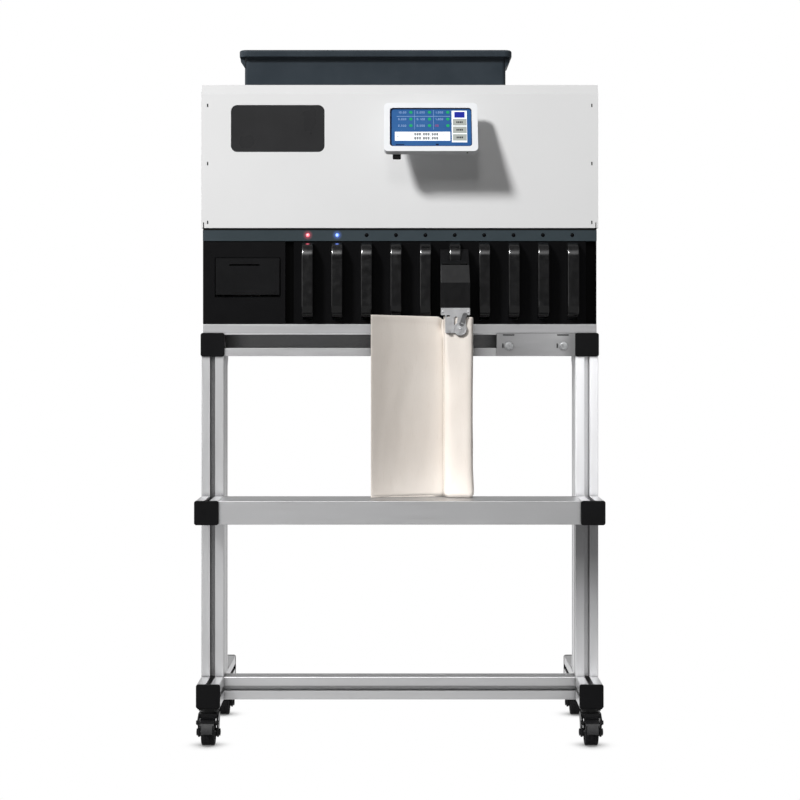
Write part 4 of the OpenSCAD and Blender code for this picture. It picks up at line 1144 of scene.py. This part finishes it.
def make_display():
    """Page of generic figures and fields, and the black plug under the housing."""
    at = display_place()
    colours = [
        screen_paint("screen_border", srgb(10, 20, 44)),
        screen_paint("screen_blue", srgb(50, 92, 142), 0.2, srgb(40, 80, 132)),
        screen_paint("screen_white", srgb(240, 245, 248), 0.3),
        screen_paint("screen_line", srgb(132, 160, 200), 0.15),
        screen_paint("screen_green", srgb(34, 150, 92), 0.3),
        screen_paint("screen_navy", srgb(34, 42, 140), 0.2),
        screen_paint("screen_key", srgb(158, 162, 158), 0.2),
        screen_paint("screen_ink", srgb(40, 42, 48)),
        screen_paint("screen_red", srgb(150, 70, 110), 0.2),
    ]
    border, blue, white, line, green, navy, key, ink, red = range(len(colours))
    bm = bmesh.new()
    prism(bm, rounded(SCREEN_W - 0.5, SCREEN_H - 0.5, 5.8), FACE + 1, FACE + 4, along_y, border)
    # The blue field sits right of and below the middle, so the dark border is widest at the top and left: painted
    # shadow of the bezel, on top of the screen's own dark edge.
    field = rounded(SCREEN_W - 4.6, SCREEN_H - 4.6, 5, (1.1, -1.1))
    prism(bm, field, FACE + 0.75, FACE + 1.05, along_y, blue)
    lift = 0.3
    tile(bm, (-64, 23.4), (36, 24.3), lift, line)
    for u in (-30.4, 5.1):
        tile(bm, (u - 0.3, -6), (u + 0.3, 38), lift, line)
    for row, v in enumerate((30.6, 15.3, 0.6)):
        for column, u in enumerate((-61.5, -26.5, 8.0)):
            last = row == 2 and column == 2
            digits(bm, FIGURES[row][column], u, v, 4.6, red if last else line, lift, 0.17)
            dot = rounded(6.2, 6.2, 3.0, (u + 24.0, v + 2.4), 4)
            prism(bm, dot, FACE + 1 - lift - 0.3, FACE + 1 - lift, along_y, green)
    tile(bm, (-67.5, -30.8), (36.1, -10.9), lift, white)
    for row, v in enumerate((-19.2, -28.2)):
        digits(bm, "888,888,888", -31, v, 5.8, ink, lift + 0.25, 0.2)
        digits(bm, "15", 20 + 3 * row, v, 3.6, key, lift + 0.25)
    digits(bm, "24", -64, -23.2, 3.6, ink, lift + 0.25)
    tile(bm, (-66, -40.2), (-50, -38.6), lift, border)
    tile(bm, (9, -40.6), (14.5, -37.6), lift, border)
    tile(bm, (39.2, -34.4), (67.8, 36.4), lift, white)
    tile(bm, (44.3, 20.8), (63.7, 33.8), lift + 0.25, navy)
    for v0, v1 in ((3, 18), (-13.8, 0.8), (-30.8, -16.4)):
        tile(bm, (41.2, v0), (67, v1), lift + 0.25, key)
        middle = (v0 + v1) / 2
        for k in range(4):
            tile(bm, (48 + 3.2 * k, middle - 2.0), (50.3 + 3.2 * k, middle + 1.8), lift + 0.5, ink, 0.1)
    fill = Matrix.Diagonal((OPENING_W / SCREEN_W, 1, OPENING_H / SCREEN_H, 1))
    bmesh.ops.transform(bm, matrix=at @ fill, verts=bm.verts)
    place("display_page", bm, "display_glass", "display", ["display_screen"], colours)

    bm = prism_mesh(rounded(*PLUG), -60.5, -37.5, along_z)
    round_edges(bm, 0.9, 3)
    for k in range(3):
        grip = prism_mesh(rounded(*PLUG_GRIP), -58.8 + 2.2 * k, -57.8 + 2.2 * k, along_z)
        round_edges(grip, 0.3, 2)
        merge(bm, grip)
    lathe(bm, [(0, 0), (1.6, 0), (1.6, 0.3), (0, 0.3)], mm(70, -28, -56), (0, 0, -1), 16)
    bmesh.ops.transform(bm, matrix=at, verts=bm.verts)
    place("display_connector", bm, "switch_plastic", "display")


# ---------------------------------------------------------------- chute and clamp

CHUTE_HALF = 29.0
CHUTE_TAPER = 2.6
FOLD_LOW = (-138.0, 893.5)                  # (y, z) of the chute's lower and upper folds
FOLD_HIGH = (-126.0, 928.5)
CHUTE_TOP = (-102.0, 960.0)
CHUTE_Z0 = 845.0
CHUTE_BACK = -88.5
CHUTE_WALL = 2.0
TUBE_Y = -112.5
CLAMP_BACK = -138.5
CLAMP_FRONT = -140.5
CLAMP_Z = 837.0                             # middle of the clamp plate's upper strip


def chute_outline(inset):
    """(y, z) outline of the chute seen from its side, inset for the hollow inside."""
    low_y, low_z = FOLD_LOW
    back = CHUTE_BACK + (CHUTE_WALL if inset else 0)
    return [(back, CHUTE_Z0 + inset), (low_y + inset, CHUTE_Z0 + inset),
            (low_y + inset, low_z - inset / 2), (FOLD_HIGH[0] + inset, FOLD_HIGH[1]),
            (CHUTE_TOP[0] + inset / 2, CHUTE_TOP[1] - inset), (back, CHUTE_TOP[1] - inset)]


LEVER_LEAN = 18.7                           # degrees
LEAF_L = 31.0


def make_lever(pin):
    """Round boss with a raised rim, and a channel-shaped leaf that leans to the right."""
    low, high = millimetres("clamp_lever")
    bm = bmesh.new()
    disc = [(2.7, 0.3), (2.7, 1.3), (4.2, 1.6), (5.4, 1.1), (10.4, 1.1), (11.2, 1.9), (12.4, 1.9),
            (13, 1.4), (13, 0.3)]
    lathe(bm, disc, mm(pin.x / MM, high.y + 0.3, pin.z / MM), FRONT, 40, closed=True)
    leaf = prism_mesh(rounded(9, LEAF_L - 3, 4.2, (0, LEAF_L / 2 + 4)), low.y, high.y - 0.3, along_y)
    round_edges(leaf, 0.4, 2)
    channel = rounded(5.6, LEAF_L - 8, 2.7, (0.6, LEAF_L / 2 + 4))
    leaf = cut(leaf, prism_mesh(channel, low.y - 1, low.y + 1.2, along_y))
    turn = Matrix.Rotation(math.radians(LEVER_LEAN), 4, "Y")
    to_pin = Matrix.Translation(Vector((pin.x, 0, pin.z)))
    bmesh.ops.transform(leaf, matrix=to_pin @ turn, verts=leaf.verts)
    paint_faces(leaf.faces, 1)
    place("clamp_lever_leaf", merge(bm, leaf), "plated_steel", "clamp_lever", ["clamp_lever"],
          [PAINTS["plated_steel"], LEAF_STEEL])


def make_chute():
    """Tapering chute with its tube, and the steel plate that clamps the bag to it."""
    low, high = millimetres("bag_chute")
    x = (low.x + high.x) / 2

    def tapered(u, v, w):
        """w is -1 at the left side and 1 at the right, which leans in above the lower fold."""
        rise = max(0.0, (v - FOLD_LOW[1]) / (CHUTE_TOP[1] - FOLD_LOW[1]))
        lean = rise * CHUTE_TAPER if w > 0 else 0
        return mm(x + w * CHUTE_HALF - lean, u, v)

    body = prism_mesh(chute_outline(0), -1, 1, tapered)
    round_edges(body, 1.3, 3, lambda e: min(v.co.y for v in e.verts) < (CHUTE_BACK - 1) * MM)
    shrink = 1 - CHUTE_WALL / CHUTE_HALF
    hollow = prism_mesh(chute_outline(CHUTE_WALL), -shrink, shrink, tapered)
    groove = prism_mesh(box_outline((-131, 928.3), (-122.6, 934.0)), x - 25.5, x + 25, along_x)
    notch = prism_mesh(box_outline((-131, 938), (-86, 962)), x - 12, x + 12, along_x)
    throat = prism_mesh(box_outline((-132, CHUTE_Z0 - 4), (-93, CHUTE_Z0 + 5)), x - 18, x + 18, along_x)
    body = cut(body, hollow, groove, notch, throat)
    tube = prism_mesh(rounded(40, 43, 2.5, (x, TUBE_Y)), CHUTE_Z0 - 55, CHUTE_Z0 + 1, along_z)
    bore = prism_mesh(rounded(36, 39, 1.5, (x, TUBE_Y)), CHUTE_Z0 - 56, CHUTE_Z0 + 2, along_z)
    tab = prism_mesh(rounded(57, 17, 1.5, (x, CLAMP_Z + 0.5)), -138, -136, along_y)
    body = merge(body, cut(tube, bore), round_edges(tab, 0.4, 2))
    place("chute_body", body, "chute_plastic", "bag_holder", ["bag_chute"], sharp=14)

    plate = prism_mesh(rounded(57, 14, 2, (x, CLAMP_Z)), CLAMP_FRONT, CLAMP_BACK, along_y)
    leg = prism_mesh(rounded(40, 46, 2.5, (x, 818)), CLAMP_FRONT + 0.02, CLAMP_BACK - 0.02, along_y)
    slot = bmesh.new()
    prism(slot, rounded(5.6, 19, 2.7), -150, -130, along_y)
    lean = Matrix.Translation(mm(x + 0.5, 0, 818)) @ Matrix.Rotation(math.radians(7), 4, "Y")
    bmesh.ops.transform(slot, matrix=lean, verts=slot.verts)
    small = bmesh.new()
    lathe(small, [(0, 0), (3, 0), (3, 20), (0, 20)], mm(x - 14, -130, 829), FRONT, 24)
    leg = cut(leg, slot, small)
    steel = merge(round_edges(plate, 0.4, 2), round_edges(leg, 0.3, 2))
    hook = [(CLAMP_BACK, 797), (CLAMP_FRONT - 4.5, 795.2), (CLAMP_FRONT - 5.6, 801),
            (CLAMP_FRONT - 4.2, 801.2), (CLAMP_FRONT - 3.4, 797), (CLAMP_FRONT + 0.4, 799.4)]
    merge(steel, round_edges(prism_mesh(hook, x - 17, x - 10.5, along_x), 0.3, 2))
    rivet = [(0, 1.1), (1.2, 1.0), (2.0, 0.6), (2.4, 0)]
    for s in (-1, 1):
        lathe(steel, rivet, mm(x + s * 24.5, CLAMP_FRONT, CLAMP_Z), FRONT, 20)
    pin = joint_at("clamp_lever_turn")
    pin.y = CLAMP_FRONT * MM
    lathe(steel, [(0, 3.9), (1.4, 3.8), (2.2, 3.4), (2.45, 2.8), (2.45, 0)], pin, FRONT, 24)
    place("clamp_plate", steel, "plated_steel", "bag_holder")
    make_lever(pin)


# ---------------------------------------------------------------- bag

# Plan of the bag, millimetres from its left seam and from its front: a thin flat part, a fold, and
# the deep part below the chute. The low plan has relaxed, the high one is square round the tube.
BAG_LOW = [(0, 3.2), (2.6, 3), (20, 9.6), (45, 17.8), (72, 25), (100, 30.6), (124, 33.6),
           (137, 34.4), (142.3, 36), (144.6, 31), (147.5, 18), (152, 9.5), (163, 5.6), (178, 2.6),
           (190, 1.2), (197, 4.6), (199.2, 16), (198, 35), (190, 44.5), (176, 48), (160, 47.5),
           (150, 45), (142, 42), (130, 39.4), (112, 36.6), (84, 31.6), (52, 23.4), (20, 13),
           (2.6, 4.4), (0, 4.2)]
BAG_HIGH = [(0, 3.2), (2.6, 3), (20, 9), (45, 16.6), (72, 23.4), (100, 28.6), (124, 31),
            (136.6, 31.6), (141, 33.5), (142.4, 28), (143.4, 12), (145.2, 2.6), (157, 1.1),
            (174, 0.8), (190, 0.7), (197.2, 3.6), (199.2, 15), (198.6, 36), (193, 46), (178, 48.7),
            (160, 48.5), (149, 46), (141.5, 41), (130, 37), (112, 34.4), (84, 29.6), (52, 22),
            (20, 12.4), (2.6, 4.3), (0, 4.2)]
BAG_SAMPLES = 6                             # points on the curve between two of the plan's points
BAG_ROWS = 90
BRIM_FALL = 0.024                           # of the brim towards the right, per millimetre
REAR_TOP = 819.5                            # height of the brim behind the tube
REAR_X = (128, 146)                         # where the brim drops to that height, from the seam
REAR_Y = (24, 36)                           # and from the front
RELAXED = (690, 800)                        # heights between which the low plan turns into the high one
HEM = 11.0
DENT_X = 139.0                              # where the clamp draws the cloth in, from the left seam
DENT_DROP = 22.0                            # below the brim
DENT_DEEP = 5.5
DENT_R = 7.0
FRONT_Y = 33                                # faces before this are the bag's front
TUCK = 2.2                                  # how far the bottom edge curls in
BELLY = 1.6                                 # how far the cloth sags out above it
HEM_THICK = 0.45
CLOTH = 0.5                                 # thickness


def smooth_loop(points, samples):
    """Closed smooth curve through the points."""
    made = []
    count = len(points)
    for i in range(count):
        a, b, c, d = (Vector(points[(i + k) % count]) for k in (-1, 0, 1, 2))
        for k in range(samples):
            t = k / samples
            made.append(0.5 * (2 * b + (c - a) * t + (2 * a - 5 * b + 4 * c - d) * t ** 2
                               + (3 * b - a - 3 * c + d) * t ** 3))
    return made


def step(value, low, high):
    """0 below low, 1 above high, smooth between them."""
    t = min(1.0, max(0.0, (value - low) / (high - low)))
    return t * t * (3 - 2 * t)


def make_bag():
    """Open bag of thin cloth, lofted from its low plan to its high one."""
    low, high = millimetres("bag")
    low_loop = smooth_loop(BAG_LOW, BAG_SAMPLES)
    high_loop = smooth_loop(BAG_HIGH, BAG_SAMPLES)
    count = len(low_loop)
    bm = bmesh.new()
    rows = []
    for row in range(BAG_ROWS + 1):
        t = row / BAG_ROWS
        t = 0.5 * t + 0.5 * (1 - math.cos(math.pi * t)) / 2      # rows closer together at both ends
        ring = []
        for i in range(count):
            a, b = low_loop[i], high_loop[i]
            rear = step(b.y, *REAR_Y) * step(b.x, *REAR_X)
            brim = high.z - BRIM_FALL * b.x
            top = brim - rear * (brim - REAR_TOP)
            z = low.z + 0.2 + t * (top - low.z - 0.2)
            p = a.lerp(b, step(z, *RELAXED))
            before, after = (low_loop[(i + k) % count] for k in (-1, 1))
            along = (after - before).normalized()
            out = Vector((along.y, -along.x)) if along.length else Vector((0, -1))
            rise = z - low.z
            push = -TUCK * (1 - step(rise, 0, 5))
            push += BELLY * step(rise, 2, 8) * (1 - step(rise, 8, 60)) * step(p.x, 15, 90)
            push += HEM_THICK * step(z, top - HEM - 0.6, top - HEM) * (1 - step(z, top - 1.2, top))
            flat = step(p.x, 8, 30)
            push += flat * 1.3 * noise.noise(Vector((p.x * 0.018, p.y * 0.02, z * 0.009)))
            push += flat * 0.5 * noise.noise(Vector((p.x * 0.06 + 7, p.y * 0.05, z * 0.02)))
            across = p.x - DENT_X
            dent = math.hypot(across * (2 if across > 0 else 1), (z - high.z + DENT_DROP) * 0.5)
            if p.y < FRONT_Y:
                push -= DENT_DEEP * math.exp(-(dent / DENT_R) ** 2)
            x = low.x + p.x + out.x * push * flat
            ring.append(bm.verts.new(mm(x, low.y + p.y + out.y * push, z)))
        rows.append(ring)
    skin(bm, rows)
    base = rows[0]
    start = count - 1
    for k in range(count // 2 - 1):
        a, b = (start + 1 + k) % count, (start + 2 + k) % count
        c, d = (start - 1 - k) % count, (start - k) % count
        bm.faces.new(list(dict.fromkeys((base[b], base[a], base[d], base[c]))))
    bmesh.ops.recalc_face_normals(bm, faces=bm.faces)
    bag = place("coin_bag", bm, "bag_fabric", "bag_holder", ["bag"], sharp=60, soft=True)
    cloth = bag.modifiers.new("thickness", "SOLIDIFY")
    cloth.thickness = CLOTH * MM
    cloth.offset = -1


make_spouts()
make_lamps()
make_wheels()
make_guards()
make_seal()
make_hopper()
make_screws()
make_display()
make_chute()
make_bag()
